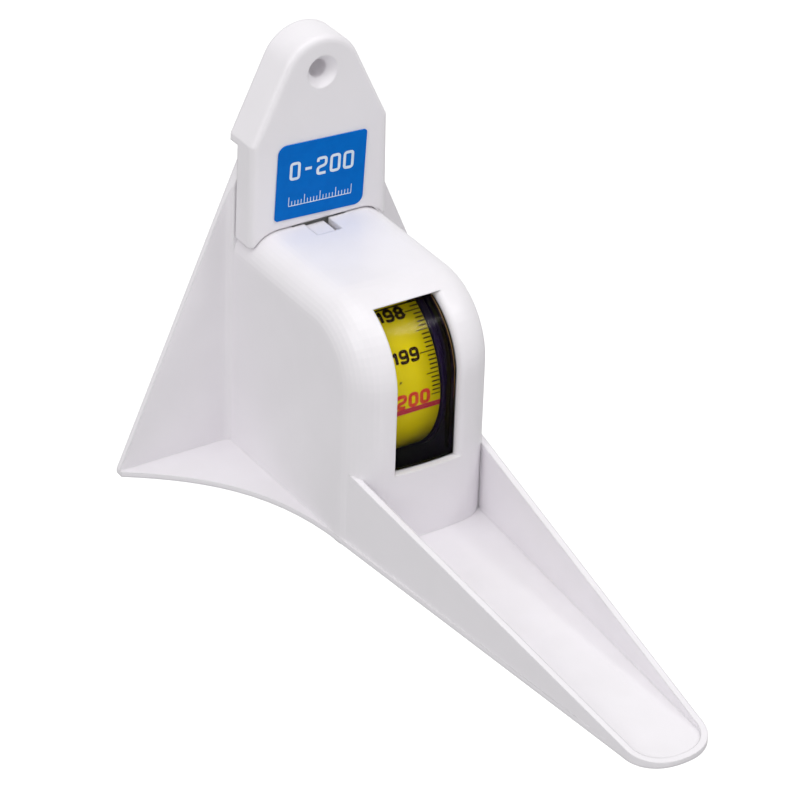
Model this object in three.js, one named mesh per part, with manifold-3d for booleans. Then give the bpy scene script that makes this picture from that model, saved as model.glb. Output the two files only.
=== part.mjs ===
// Wall stadiometer with a recoiling tape: a hanger is screwed to the wall, and a head slide
// hangs below it on the tape that its reel pays out as the slide is pulled down.
//
// Millimetres. X points to the right, -Y to the person in front, +Z up, and the wall is y = 0.
// Shapes are drawn with z counted from the underside of the head plate. The last group moves
// all of them, so that the origin is where the axis of the wall screw meets the wall.

import * as THREE from 'three';
import { mergeVertices, toCreasedNormals } from 'three/addons/utils/BufferGeometryUtils.js';
import Module from 'manifold-3d';

const wasm = await Module();
wasm.setup();

// Gaps between pieces
const CLEARANCE = 0.3;
const SLIDING_CLEARANCE = 0.5;
const REEL_RIM_CLEARANCE = 0.4;
const LABEL_GAP = 0.05;
const OVERRUN = 2;
const FUSE = 0.2;
const POINT_TOLERANCE = 1e-6;

// Head slide: back plate and head plate
const PLATE_THICK = 2.6;
const PLATE_EDGE_THICK = 1.4;
const PLATE_RAMP_WIDTH = 2.4;
const PLATE_HALF_WIDTH = 47.1;
const PLATE_HEIGHT = 77;
const PLATE_TOP_HALF_WIDTH = 14.4;
const PLATE_CORNER_RADIUS = 1.6;
const FLOOR_THICK = 1.6;
const FLOOR_EDGE_RADIUS = 0.6;
const FLANGE_CORNER_DEPTH = 2;

// Head slide: arm
const ARM_LENGTH = 155.8;
const ARM_TIP_HALF_WIDTH = 10;
const ARM_TIP_ROUNDING = 8.8;
const ARM_WALL = 1.5;
const ARM_ROOT_DEPTH = 51;
const ARM_ROOT_HEIGHT = 19.3;
const TIP_EXPONENT_SHARE = 2.3;

// Curve of the flange edge between the plate's corner and the arm, as shares of its width and
// depth. The first control point leaves the corner, the second one runs into the arm's side.
const FLANGE_CORNER_SHARES = [0.508, 0.203];
const FLANGE_ARM_SHARES = [0.049, 0.537];

// Head slide: housing
const HOUSING_HALF_WIDTH = 18.2;
const HOUSING_HEIGHT = 58.1;
const HOUSING_DEPTH = 56;
const HOUSING_BOW = 2.3;
const HOUSING_FRONT_RADIUS = 19;
const HOUSING_EDGE_RADIUS = 7.5;
const HOUSING_WALL = 2.4;

// Window in the housing
const WINDOW_LEFT = 8.8;
const WINDOW_LEFT_RADIUS = 0.7;
const WINDOW_RIGHT = 7.3;
const WINDOW_RIGHT_RADIUS = 1.7;
const WINDOW_SILL_HEIGHT = 19.2;
const WINDOW_TOP_DEPTH = 47.1;
const WINDOW_TOP_REACH = 3.2;
const WINDOW_TOP_SLOPE_DEGREES = 30;
const LENS_THICK = 1.1;
const LENS_MARGIN = 2.6;

// Slot in the top of the housing: the wide part under the hanger passes the tape. The notch in
// front of it is shallow, and goes right through only at its right end.
const SLOT_BACK_DEPTH = 3.9;
const SLOT_STEP_DEPTH = 9.5;
const SLOT_FRONT_DEPTH = 15.4;
const SLOT_NOTCH_LEFT = 4;
const SLOT_NOTCH_RIGHT = 2.4;
const SLOT_NOTCH_SUNK = 0.5;
const SLOT_GAP_WIDTH = 1.3;

// Tape and reel
const TAPE_WIDTH = 13;
const TAPE_SHOWN_THICK = 0.3;
const TAPE_EDGE_CLEARANCE = 0.3;
const ROLL_RADIUS = 21.2;
const REEL_DEPTH = 30;
const REEL_HEIGHT = 32;
const WINDING_DROP = 0.8;
const WINDING_CLEARANCE = 0.35;
const HUB_RADIUS = 18;
const HUB_WALL = 1.6;
const REEL_FLANGE_RADIUS = 21.6;
const REEL_FLANGE_THICK = 1.1;
const REEL_BOSS_RADIUS = 4.6;
const REEL_LIGHTENING_RADIUS = 3.4;
const REEL_LIGHTENING_CIRCLE = 11.4;
const REEL_LIGHTENING_COUNT = 5;

// Arbor and recoil spring
const ARBOR_RADIUS = 2.5;
const ARBOR_SLOT_WIDTH = 1.1;
const ARBOR_CLEARANCE = 0.06;
const SPRING_THICK = 0.4;
const SPRING_TURNS = 8;
const SPRING_STEPS_PER_TURN = 24;
const SPRING_WIDTH_MARGIN = 1;

// Cassette that holds the reel
const CASSETTE_WALL = 1.3;
const CASSETTE_CORNER_RADIUS = 4;
const CASSETTE_BOSS_RADIUS = 2.7;
const CASSETTE_BOSS_INSET = 5;
const CASSETTE_SCREW_RADIUS = 1.1;
const CASSETTE_SCREW_HEAD_RADIUS = 2.1;
const CASSETTE_SCREW_HEAD_HEIGHT = 1.2;
const CASSETTE_SCREW_LENGTH = 12;
const CASSETTE_RIB_THICK = 1.6;

// Rear cover and its screws
const COVER_THICK = 2;
const COVER_RECESS = 0.3;
const COVER_BOSS_RADIUS = 2.9;
const COVER_BOSS_LENGTH = 6.4;
const COVER_BOSS_INSET = 2.6;
const COVER_BOSS_BOTTOM = 5;
const COVER_BOSS_DROP = 5.3;
const COVER_SCREW_RADIUS = 1.2;
const COVER_SCREW_HEAD_RADIUS = 2.3;
const COVER_SCREW_LENGTH = 7;
const COVER_RIB_THICK = 1.4;
const COVER_RIB_HEIGHT = 26;
const COVER_RIB_OFFSET = 7;

// Hanger
const HANGER_HALF_WIDTH = 18.1;
const HANGER_SHOULDER_HALF_WIDTH = 17.7;
const HANGER_DEPTH = 9.6;
const HANGER_WALL = 1.8;
const HANGER_EDGE_RADIUS = 1.6;
const HANGER_CORNER_HEIGHT = 55.3;
const HANGER_TOP = 103.8;
const HANGER_SHOULDER_DROP = 23.5;
const HANGER_ARCH_RADIUS = 10.3;
const HANGER_SEAT_CLEARANCE = 0.4;
const HANGER_STEP_HEIGHT = 78.6;
const HANGER_RIB_THICK = 1.5;
const SCREW_HOLE_DROP = 8.6;
const SCREW_HOLE_RADIUS = 2.2;
const SCREW_SINK_RADIUS = 3.9;
const SCREW_SINK_DEPTH = 2.2;
const SCREW_BOSS_RADIUS = 6.4;

// Label on the hanger
const LABEL_HALF_WIDTH = 11.55;
const LABEL_HALF_HEIGHT = 9.3;
const LABEL_THICK = 0.3;
const LABEL_HEIGHT = 69.5;
const LABEL_TILT_DEGREES = -2.7;
const LABEL_WIDE_RADIUS = 2.2;
const LABEL_TIGHT_RADIUS = 0.8;

// Tape clamp in the hanger
const CLAMP_BELOW_RIB = 3.6;
const CLAMP_HEIGHT = 9;
const CLAMP_HALF_WIDTH = 7.4;
const CLAMP_THICK = 1.1;
const CLAMP_TAPE_DEPTH = 6.9;
const CLAMP_SCREW_RADIUS = 0.9;
const CLAMP_SCREW_HEAD_RADIUS = 1.7;
const CLAMP_SCREW_HEAD_HEIGHT = 0.8;
const CLAMP_SCREW_OFFSET = 4.2;

// Cross recess in a screw's head, as shares of the head's radius
const RECESS_REACH_SHARE = 0.6;
const RECESS_HALF_WIDTH_SHARE = 0.12;
const RECESS_DEPTH_SHARE = 0.3;

// Facets
const ARC_STEPS = 10;
const FINE_ARC_STEPS = 14;
const BOW_STEPS = 8;
const ROUND_STEPS = 32;
const SMALL_ROUND_STEPS = 16;
const EDGE_STEPS = 4;
const WINDING_STEPS = 64;
const CREASE_ANGLE = Math.PI / 6;
const FULL_TURN = 2 * Math.PI;
const RIGHT_ANGLE = Math.PI / 2;

// Sizes worked out from the ones above
const HOUSING_INNER_HALF_WIDTH = HOUSING_HALF_WIDTH - HOUSING_WALL;
const HOUSING_INNER_TOP = HOUSING_HEIGHT - HOUSING_WALL;
const TAPE_HALF_WIDTH = TAPE_WIDTH / 2;
const WINDOW_TOP_HEIGHT = HOUSING_HEIGHT - HOUSING_FRONT_RADIUS + Math.sqrt(HOUSING_FRONT_RADIUS ** 2
  - (WINDOW_TOP_DEPTH / bowFactor(0) - HOUSING_DEPTH + HOUSING_FRONT_RADIUS) ** 2);
const SLOT_HALF_WIDTH = TAPE_HALF_WIDTH + SLIDING_CLEARANCE;
const REEL_INNER_HALF_WIDTH = TAPE_HALF_WIDTH + TAPE_EDGE_CLEARANCE;
const REEL_OUTER_HALF_WIDTH = REEL_INNER_HALF_WIDTH + REEL_FLANGE_THICK;
const CASSETTE_INNER_HALF_WIDTH = REEL_OUTER_HALF_WIDTH + CLEARANCE;
const CASSETTE_HALF_WIDTH = CASSETTE_INNER_HALF_WIDTH + CASSETTE_WALL;
const CASSETTE_RADIUS = REEL_FLANGE_RADIUS + REEL_RIM_CLEARANCE + CASSETTE_WALL;
const CASSETTE_BOTTOM = FLOOR_THICK + CLEARANCE;
const CASSETTE_BACK_DEPTH = REEL_DEPTH - CASSETTE_RADIUS;
const HANGER_SHOULDER_HEIGHT = HANGER_TOP - HANGER_SHOULDER_DROP;
const HANGER_ARCH_CENTRE = HANGER_TOP - HANGER_ARCH_RADIUS;
const SCREW_HOLE_HEIGHT = HANGER_TOP - SCREW_HOLE_DROP;
const HANGER_INNER_DEPTH = HANGER_DEPTH - HANGER_WALL;
const HANGER_RECESS = PLATE_THICK + SLIDING_CLEARANCE;
const WINDING_INNER_RADIUS = ROLL_RADIUS - WINDING_DROP - TAPE_SHOWN_THICK;
const CORE_RADIUS = WINDING_INNER_RADIUS - WINDING_CLEARANCE;
const COVER_BOSS_OFFSET = HOUSING_INNER_HALF_WIDTH - COVER_BOSS_INSET;
const COVER_BOSS_TOP = HOUSING_INNER_TOP - COVER_BOSS_DROP;
const CLAMP_BOTTOM = HANGER_STEP_HEIGHT - CLAMP_BELOW_RIB - CLAMP_HEIGHT;

// Colours and finishes
const WHITE_ABS = { color: 0xecebee, roughness: 0.28, metalness: 0 };
const COVER_ABS = { color: 0xdddce0, roughness: 0.45, metalness: 0 };
const DARK_ABS = { color: 0x141028, roughness: 0.35, metalness: 0 };
const CLEAR_ACRYLIC = { color: 0xe9eef2, roughness: 0.04, metalness: 0, transparent: true, opacity: 0.25 };
const LABEL_BLUE = { color: 0x0069be, roughness: 0.35, metalness: 0 };
const TAPE_YELLOW = { color: 0xd2c21e, roughness: 0.5, metalness: 0 };
const TAPE_BACK = { color: 0xd8d8d4, roughness: 0.55, metalness: 0 };
const STEEL = { color: 0xb9bcc0, roughness: 0.3, metalness: 1 };
const SPRING_STEEL = { color: 0x6d7178, roughness: 0.3, metalness: 1 };

// Directions in which outlines are extruded: an outline's own x and y become the two named
// axes, and its thickness runs along the third
const TO_YZ = new THREE.Matrix4().makeBasis(
  new THREE.Vector3(0, 1, 0), new THREE.Vector3(0, 0, 1), new THREE.Vector3(1, 0, 0));
const TO_XZ = new THREE.Matrix4().makeBasis(
  new THREE.Vector3(1, 0, 0), new THREE.Vector3(0, 0, 1), new THREE.Vector3(0, -1, 0));

// Turns a three.js geometry into a solid that booleans can use.
function toSolid(geometry) {
  const plain = geometry.clone();
  plain.deleteAttribute('normal');
  plain.deleteAttribute('uv');
  const merged = mergeVertices(plain);
  const vertProperties = new Float32Array(merged.attributes.position.array);
  const triVerts = new Uint32Array(merged.index.array);
  return new wasm.Manifold(new wasm.Mesh({ numProp: 3, vertProperties, triVerts }));
}

// Turns a solid back into a geometry, with smooth shading across shallow edges.
function toGeometry(solid) {
  const mesh = solid.getMesh();
  const geometry = new THREE.BufferGeometry();
  geometry.setAttribute('position', new THREE.BufferAttribute(mesh.vertProperties, 3));
  geometry.setIndex(new THREE.BufferAttribute(mesh.triVerts, 1));
  return toCreasedNormals(geometry, CREASE_ANGLE);
}

function joinAll(solids) {
  return solids.reduce((whole, piece) => whole.add(piece));
}

function cutAll(solid, cutters) {
  return cutters.reduce((rest, cutter) => rest.subtract(cutter), solid);
}

// Extrudes an outline drawn in X and Y from one height to another.
function alongZ(outline, low, high) {
  const geometry = new THREE.ExtrudeGeometry(outline, { depth: high - low, bevelEnabled: false });
  geometry.translate(0, 0, low);
  return toSolid(geometry);
}

// Extrudes an outline drawn in X and Z from one depth in front of the wall to a larger one.
function alongDepth(outline, near, far) {
  const geometry = new THREE.ExtrudeGeometry(outline, { depth: far - near, bevelEnabled: false });
  geometry.translate(0, 0, near).applyMatrix4(TO_XZ);
  return toSolid(geometry);
}

// Extrudes an outline drawn in Y and Z from one X to a larger one.
function alongX(outline, left, right) {
  const geometry = new THREE.ExtrudeGeometry(outline, { depth: right - left, bevelEnabled: false });
  geometry.translate(0, 0, left).applyMatrix4(TO_YZ);
  return toSolid(geometry);
}

// A block between two opposite corners.
function block(x0, y0, z0, x1, y1, z1) {
  const geometry = new THREE.BoxGeometry(x1 - x0, y1 - y0, z1 - z0);
  geometry.translate((x0 + x1) / 2, (y0 + y1) / 2, (z0 + z1) / 2);
  return toSolid(geometry);
}

// A block on the middle plane, given by its half width, depths in front of the wall and heights.
function centredBlock(halfWidth, near, far, low, high) {
  return block(-halfWidth, -far, low, halfWidth, -near, high);
}

function discOutline(x, y, radius, steps) {
  const points = [];
  for (let i = 0; i < steps; i += 1) {
    const angle = (FULL_TURN * i) / steps;
    points.push(new THREE.Vector2(x + radius * Math.cos(angle), y + radius * Math.sin(angle)));
  }
  return new THREE.Shape(points);
}

// A round bar along X around the point (y, z).
function rodAlongX(y, z, radius, left, right, steps) {
  return alongX(discOutline(y, z, radius, steps), left, right);
}

// A round bar that runs away from the wall around the point (x, z).
function rodAlongDepth(x, z, radius, near, far, steps) {
  return alongDepth(discOutline(x, z, radius, steps), near, far);
}

// A body of revolution whose axis runs away from the wall; the profile holds pairs of radius
// and depth, and starts and ends on the axis.
function turnedAlongDepth(x, z, profile, steps) {
  const points = profile.map(([radius, depth]) => new THREE.Vector2(radius, depth));
  const geometry = new THREE.LatheGeometry(points, steps);
  geometry.rotateX(Math.PI);
  geometry.translate(x, 0, z);
  return toSolid(geometry);
}

// Points of an arc, its two ends included.
function arcPoints(centreX, centreY, radius, start, end, steps) {
  const points = [];
  for (let i = 0; i <= steps; i += 1) {
    const angle = start + ((end - start) * i) / steps;
    points.push(new THREE.Vector2(centreX + radius * Math.cos(angle), centreY + radius * Math.sin(angle)));
  }
  return points;
}

// A rectangle around the origin with a radius for each corner: bottom left, bottom right,
// top right, top left.
function roundedOutline(halfWidth, halfHeight, radii) {
  const [bottomLeft, bottomRight, topRight, topLeft] = radii;
  const corners = [
    [-halfWidth + bottomLeft, -halfHeight + bottomLeft, bottomLeft, Math.PI],
    [halfWidth - bottomRight, -halfHeight + bottomRight, bottomRight, Math.PI + RIGHT_ANGLE],
    [halfWidth - topRight, halfHeight - topRight, topRight, 0],
    [-halfWidth + topLeft, halfHeight - topLeft, topLeft, RIGHT_ANGLE],
  ];
  const points = corners.flatMap(([x, y, radius, start]) =>
    arcPoints(x, y, radius, start, start + RIGHT_ANGLE, ARC_STEPS / 2));
  return new THREE.Shape(points);
}

// Mirrors the right half of an outline, listed from the bottom or the wall to the far end,
// and leaves out the doubled point on the middle line.
function mirroredPoints(rightHalf) {
  const leftHalf = rightHalf.map((point) => new THREE.Vector2(-point.x, point.y)).reverse();
  const all = [...rightHalf, ...leftHalf];
  return all.filter((point, i) => {
    const next = all[(i + 1) % all.length];
    return point.distanceTo(next) > POINT_TOLERANCE;
  });
}

function mirroredOutline(rightHalf) {
  return new THREE.Shape(mirroredPoints(rightHalf));
}

// Skins a row of closed loops with the same count of points. Each loop runs anticlockwise
// when it is seen from the side where the row ends.
function loft(loops) {
  const count = loops[0].length;
  const positions = loops.flatMap((loop) => loop.flatMap((point) => [point.x, point.y, point.z]));
  const index = [];
  for (let row = 0; row + 1 < loops.length; row += 1) {
    for (let i = 0; i < count; i += 1) {
      const next = (i + 1) % count;
      const a = row * count + i;
      const b = row * count + next;
      index.push(a, b, b + count, a, b + count, a + count);
    }
  }
  const last = (loops.length - 1) * count;
  for (let i = 1; i + 1 < count; i += 1) {
    index.push(0, i + 1, i);
    index.push(last, last + i, last + i + 1);
  }
  const geometry = new THREE.BufferGeometry();
  geometry.setAttribute('position', new THREE.Float32BufferAttribute(positions, 3));
  geometry.setIndex(index);
  return toSolid(geometry);
}

// How far the front of the housing bulges out at this x, as a factor on all depths.
function bowFactor(x) {
  const across = x / HOUSING_HALF_WIDTH;
  return 1 + (HOUSING_BOW / HOUSING_DEPTH) * (1 - across * across);
}

// Side profile of the housing at one x, drawn in by an inset from its top and front. The
// front's upper end rounds over into the top.
function housingLoop(x, inset, back, bottom) {
  const centreDepth = HOUSING_DEPTH - HOUSING_FRONT_RADIUS;
  const centreHeight = HOUSING_HEIGHT - HOUSING_FRONT_RADIUS;
  const bow = bowFactor(x);
  const arc = arcPoints(-centreDepth, centreHeight, HOUSING_FRONT_RADIUS - inset,
    RIGHT_ANGLE, Math.PI, FINE_ARC_STEPS);
  const loop = arc.map((point) => new THREE.Vector3(x, point.x * bow, point.y));
  loop.push(new THREE.Vector3(x, -(HOUSING_DEPTH - inset) * bow, bottom));
  loop.unshift(new THREE.Vector3(x, -back, HOUSING_HEIGHT - inset));
  loop.unshift(new THREE.Vector3(x, -back, bottom));
  return loop;
}

// The rounded body of the housing, drawn in all over by a wall. Its long edges get their
// radius from sections that step inwards towards both sides.
function housingBody(wall, back, bottom) {
  const halfWidth = HOUSING_HALF_WIDTH - wall;
  const radius = HOUSING_EDGE_RADIUS - wall;
  const stations = [];
  for (let i = 0; i < ARC_STEPS; i += 1) {
    const angle = RIGHT_ANGLE * (1 - i / ARC_STEPS);
    const x = halfWidth - radius + radius * Math.sin(angle);
    stations.push([-x, wall + radius * (1 - Math.cos(angle))]);
  }
  const flat = halfWidth - radius;
  for (let i = 0; i <= BOW_STEPS; i += 1) {
    stations.push([-flat + (2 * flat * i) / BOW_STEPS, wall]);
  }
  for (let i = ARC_STEPS - 1; i >= 0; i -= 1) {
    stations.push([-stations[i][0], stations[i][1]]);
  }
  return loft(stations.map(([x, inset]) => housingLoop(x, inset, back, bottom)));
}

// Half the width of the arm at a depth in front of the wall, up to where its tip rounds off.
function armHalfWidth(depth) {
  const straightEnd = ARM_LENGTH - ARM_TIP_ROUNDING;
  const along = Math.max(0, (depth - ARM_ROOT_DEPTH) / (straightEnd - ARM_ROOT_DEPTH));
  return HOUSING_HALF_WIDTH + (ARM_TIP_HALF_WIDTH - HOUSING_HALF_WIDTH) * along;
}

// Right side of the arm from a start depth to the middle of the tip, drawn in by an inset.
function armSide(start, inset) {
  const tipCentre = ARM_LENGTH - ARM_TIP_ROUNDING;
  const points = [new THREE.Vector2(armHalfWidth(start) - inset, -start)];
  for (let i = 0; i <= FINE_ARC_STEPS; i += 1) {
    const angle = (RIGHT_ANGLE * i) / FINE_ARC_STEPS;
    const across = Math.cos(angle) ** (2 / TIP_EXPONENT_SHARE);
    const ahead = Math.sin(angle) ** (2 / TIP_EXPONENT_SHARE);
    const x = i === FINE_ARC_STEPS ? 0 : (ARM_TIP_HALF_WIDTH - inset) * across;
    points.push(new THREE.Vector2(x, -tipCentre - (ARM_TIP_ROUNDING - inset) * ahead));
  }
  return points;
}

// Right side of the head plate: the plate's end, the concave flange edge and the arm.
function headPlateSide() {
  const width = PLATE_HALF_WIDTH - HOUSING_HALF_WIDTH;
  const depth = ARM_ROOT_DEPTH - FLANGE_CORNER_DEPTH;
  const corner = new THREE.Vector2(PLATE_HALF_WIDTH, -FLANGE_CORNER_DEPTH);
  const root = new THREE.Vector2(HOUSING_HALF_WIDTH, -ARM_ROOT_DEPTH);
  const flange = new THREE.CubicBezierCurve(
    corner,
    new THREE.Vector2(corner.x - width * FLANGE_CORNER_SHARES[0], corner.y - depth * FLANGE_CORNER_SHARES[1]),
    new THREE.Vector2(root.x + width * FLANGE_ARM_SHARES[0], root.y + depth * FLANGE_ARM_SHARES[1]),
    root,
  );
  const wallEnd = new THREE.Vector2(PLATE_HALF_WIDTH, 0);
  return [wallEnd, ...flange.getPoints(FINE_ARC_STEPS), ...armSide(ARM_ROOT_DEPTH, 0).slice(1)];
}

// Head plate with a rounded lower edge: slices that step inwards towards the underside.
function headPlate() {
  const outline = mirroredOutline(headPlateSide());
  const geometry = new THREE.ExtrudeGeometry(outline, {
    depth: FLOOR_THICK - FLOOR_EDGE_RADIUS,
    bevelThickness: FLOOR_EDGE_RADIUS,
    bevelSize: FLOOR_EDGE_RADIUS,
    bevelOffset: -FLOOR_EDGE_RADIUS,
    bevelSegments: 2,
  });
  geometry.translate(0, 0, FLOOR_EDGE_RADIUS);
  const top = centredBlock(PLATE_HALF_WIDTH + OVERRUN, -OVERRUN, ARM_LENGTH + OVERRUN,
    FLOOR_THICK, FLOOR_THICK + OVERRUN);
  const behindWall = centredBlock(PLATE_HALF_WIDTH + OVERRUN, -OVERRUN, 0, -OVERRUN, FLOOR_THICK + OVERRUN);
  return cutAll(toSolid(geometry), [top, behindWall]);
}

// Triangular plate that slides along the wall, with its top hidden behind the hanger. It is
// thin towards its slopes, and thickens in a hollow curve where it meets the housing's flanks.
function backPlate() {
  const lowerCorner = arcPoints(PLATE_HALF_WIDTH - PLATE_CORNER_RADIUS, PLATE_CORNER_RADIUS,
    PLATE_CORNER_RADIUS, -RIGHT_ANGLE, 0, ARC_STEPS / 2);
  const top = new THREE.Vector2(PLATE_TOP_HALF_WIDTH, PLATE_HEIGHT);
  const triangle = alongDepth(mirroredOutline([...lowerCorner, top]), 0, PLATE_THICK);
  const side = [
    new THREE.Vector2(PLATE_HALF_WIDTH + OVERRUN, OVERRUN),
    new THREE.Vector2(PLATE_HALF_WIDTH + OVERRUN, -PLATE_EDGE_THICK),
  ];
  for (let i = 0; i <= EDGE_STEPS; i += 1) {
    const angle = (RIGHT_ANGLE * i) / EDGE_STEPS;
    side.push(new THREE.Vector2(
      HOUSING_HALF_WIDTH + PLATE_RAMP_WIDTH * (1 - Math.sin(angle)),
      -PLATE_EDGE_THICK - (PLATE_THICK - PLATE_EDGE_THICK) * (1 - Math.cos(angle)),
    ));
  }
  side.push(new THREE.Vector2(HOUSING_HALF_WIDTH, -PLATE_THICK - OVERRUN));
  return triangle.intersect(alongZ(mirroredOutline(side), -OVERRUN, PLATE_HEIGHT + OVERRUN));
}

// Side walls of the arm, as tall as the housing's flank lets them start and gone at the tip.
function armWalls() {
  const start = ARM_ROOT_DEPTH - HOUSING_EDGE_RADIUS;
  const outer = alongZ(mirroredOutline(armSide(start, 0)), FLOOR_EDGE_RADIUS, ARM_ROOT_HEIGHT * 2);
  const inner = alongZ(mirroredOutline(armSide(start - OVERRUN, ARM_WALL)), 0, ARM_ROOT_HEIGHT * 2 + OVERRUN);
  const slope = (ARM_ROOT_HEIGHT - FLOOR_THICK) / (ARM_LENGTH - ARM_ROOT_DEPTH);
  const rootTop = ARM_ROOT_HEIGHT + slope * (ARM_ROOT_DEPTH - start);
  const wedge = new THREE.Shape([
    new THREE.Vector2(-ARM_LENGTH, 0),
    new THREE.Vector2(-start, 0),
    new THREE.Vector2(-start, rootTop),
    new THREE.Vector2(-ARM_LENGTH, FLOOR_THICK),
  ]);
  return outer.subtract(inner).intersect(alongX(wedge, -PLATE_HALF_WIDTH, PLATE_HALF_WIDTH));
}

// What the window opens between two places across the housing. Its top runs back and down
// through the wall, so that it can't be seen from above.
function windowRegion(left, right) {
  const slope = Math.tan(THREE.MathUtils.degToRad(WINDOW_TOP_SLOPE_DEGREES));
  const far = HOUSING_DEPTH + HOUSING_BOW + OVERRUN;
  const inner = HOUSING_DEPTH - HOUSING_WALL - OVERRUN;
  const outline = new THREE.Shape([
    new THREE.Vector2(-far, WINDOW_SILL_HEIGHT),
    new THREE.Vector2(-inner, WINDOW_SILL_HEIGHT),
    new THREE.Vector2(-inner, HOUSING_HEIGHT - HOUSING_FRONT_RADIUS),
    new THREE.Vector2(-WINDOW_TOP_DEPTH + WINDOW_TOP_REACH, WINDOW_TOP_HEIGHT - WINDOW_TOP_REACH * slope),
    new THREE.Vector2(-far, WINDOW_TOP_HEIGHT + (far - WINDOW_TOP_DEPTH) * slope),
  ]);
  return alongX(outline, left, right);
}

// Opening of the window. Its outer side edges are rounded over, the left one only a little.
function windowCutters() {
  const back = HOUSING_DEPTH - 2 * HOUSING_FRONT_RADIUS;
  const cutters = [windowRegion(-WINDOW_LEFT, WINDOW_RIGHT)];
  for (const [side, reach, radius] of [[-1, WINDOW_LEFT, WINDOW_LEFT_RADIUS],
    [1, WINDOW_RIGHT, WINDOW_RIGHT_RADIUS]]) {
    const edge = reach + radius;
    const stations = [[reach - FUSE, radius]];
    for (let i = 0; i <= EDGE_STEPS; i += 1) {
      const angle = RIGHT_ANGLE * (1 - i / EDGE_STEPS);
      stations.push([edge - radius * Math.sin(angle), radius * (1 - Math.cos(angle))]);
    }
    stations.push([edge + FUSE, 0]);
    if (side < 0) stations.reverse();
    const body = loft(stations.map(([x, inset]) => housingLoop(side * x, inset, back, 0)));
    const ends = [side * (reach - FUSE), side * edge];
    cutters.push(windowRegion(Math.min(...ends), Math.max(...ends)).subtract(body));
  }
  return cutters;
}

// Where the tape leaves the housing, with the notch in front of the hanger.
function tapeSlotCutters() {
  const low = HOUSING_INNER_TOP - OVERRUN;
  const high = HOUSING_HEIGHT + OVERRUN;
  return [
    centredBlock(SLOT_HALF_WIDTH, SLOT_BACK_DEPTH, SLOT_STEP_DEPTH, low, high),
    block(-SLOT_NOTCH_LEFT, -SLOT_FRONT_DEPTH, HOUSING_HEIGHT - SLOT_NOTCH_SUNK,
      SLOT_NOTCH_RIGHT, -SLOT_STEP_DEPTH + FUSE, high),
    block(SLOT_NOTCH_RIGHT - SLOT_GAP_WIDTH, -SLOT_FRONT_DEPTH, low,
      SLOT_NOTCH_RIGHT, -SLOT_STEP_DEPTH + FUSE, high),
  ];
}

// Hollow of the housing, open at the back where the rear cover fits.
function housingHollow() {
  return housingBody(HOUSING_WALL, -OVERRUN, FLOOR_THICK);
}

// Where the rear cover's screws go: a pair near the floor and a pair near the top.
function coverScrewPlaces() {
  const heights = [COVER_BOSS_BOTTOM, COVER_BOSS_TOP];
  return heights.flatMap((z) => [[-COVER_BOSS_OFFSET, z], [COVER_BOSS_OFFSET, z]]);
}

// Screw bosses in the corners of the housing, fused to its side walls.
function coverBosses() {
  const near = COVER_RECESS + COVER_THICK + CLEARANCE;
  return coverScrewPlaces().map(([x, z]) => {
    const boss = rodAlongDepth(x, z, COVER_BOSS_RADIUS, near, near + COVER_BOSS_LENGTH, SMALL_ROUND_STEPS);
    const side = Math.sign(x);
    const web = block(Math.min(x, side * (HOUSING_INNER_HALF_WIDTH + FUSE)), -near - COVER_BOSS_LENGTH,
      z - COVER_SCREW_RADIUS, Math.max(x, side * (HOUSING_INNER_HALF_WIDTH + FUSE)), -near,
      z + COVER_SCREW_RADIUS);
    return boss.add(web);
  });
}

// Ribs on both inner flanks that keep the cassette in the middle of the housing.
function cassetteRibs() {
  const ribs = [];
  for (const side of [-1, 1]) {
    for (const z of [REEL_HEIGHT - CASSETTE_RADIUS / 2, REEL_HEIGHT + CASSETTE_RADIUS / 2]) {
      const inner = side * (CASSETTE_HALF_WIDTH + CLEARANCE);
      const outer = side * (HOUSING_INNER_HALF_WIDTH + FUSE);
      ribs.push(block(Math.min(inner, outer), -REEL_DEPTH - CASSETTE_RADIUS / 2, z - CASSETTE_RIB_THICK / 2,
        Math.max(inner, outer), -REEL_DEPTH + CASSETTE_RADIUS / 2, z + CASSETTE_RIB_THICK / 2));
    }
  }
  return ribs;
}

function headSlideShell() {
  const skin = joinAll([housingBody(0, 0, 0), backPlate(), headPlate(), armWalls()]);
  const hollow = cutAll(skin, [housingHollow(), ...windowCutters(), ...tapeSlotCutters()]);
  const inside = joinAll([...coverBosses(), ...cassetteRibs()]);
  const screwHoles = coverScrewPlaces().map(([x, z]) =>
    rodAlongDepth(x, z, COVER_SCREW_RADIUS + CLEARANCE, 0,
      COVER_RECESS + COVER_SCREW_LENGTH + CLEARANCE, SMALL_ROUND_STEPS));
  return cutAll(hollow.add(inside), screwHoles);
}

// Clear pane that follows the inside of the housing behind the window.
function windowLens() {
  const outside = housingBody(HOUSING_WALL + CLEARANCE, 0, FLOOR_THICK);
  const inside = housingBody(HOUSING_WALL + CLEARANCE + LENS_THICK, -OVERRUN, 0);
  const pane = outside.subtract(inside);
  return pane.intersect(block(-WINDOW_LEFT - LENS_MARGIN, -HOUSING_DEPTH * 2,
    WINDOW_SILL_HEIGHT - LENS_MARGIN, WINDOW_RIGHT + LENS_MARGIN,
    -WINDOW_TOP_DEPTH + 2 * LENS_MARGIN, HOUSING_HEIGHT));
}

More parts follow.
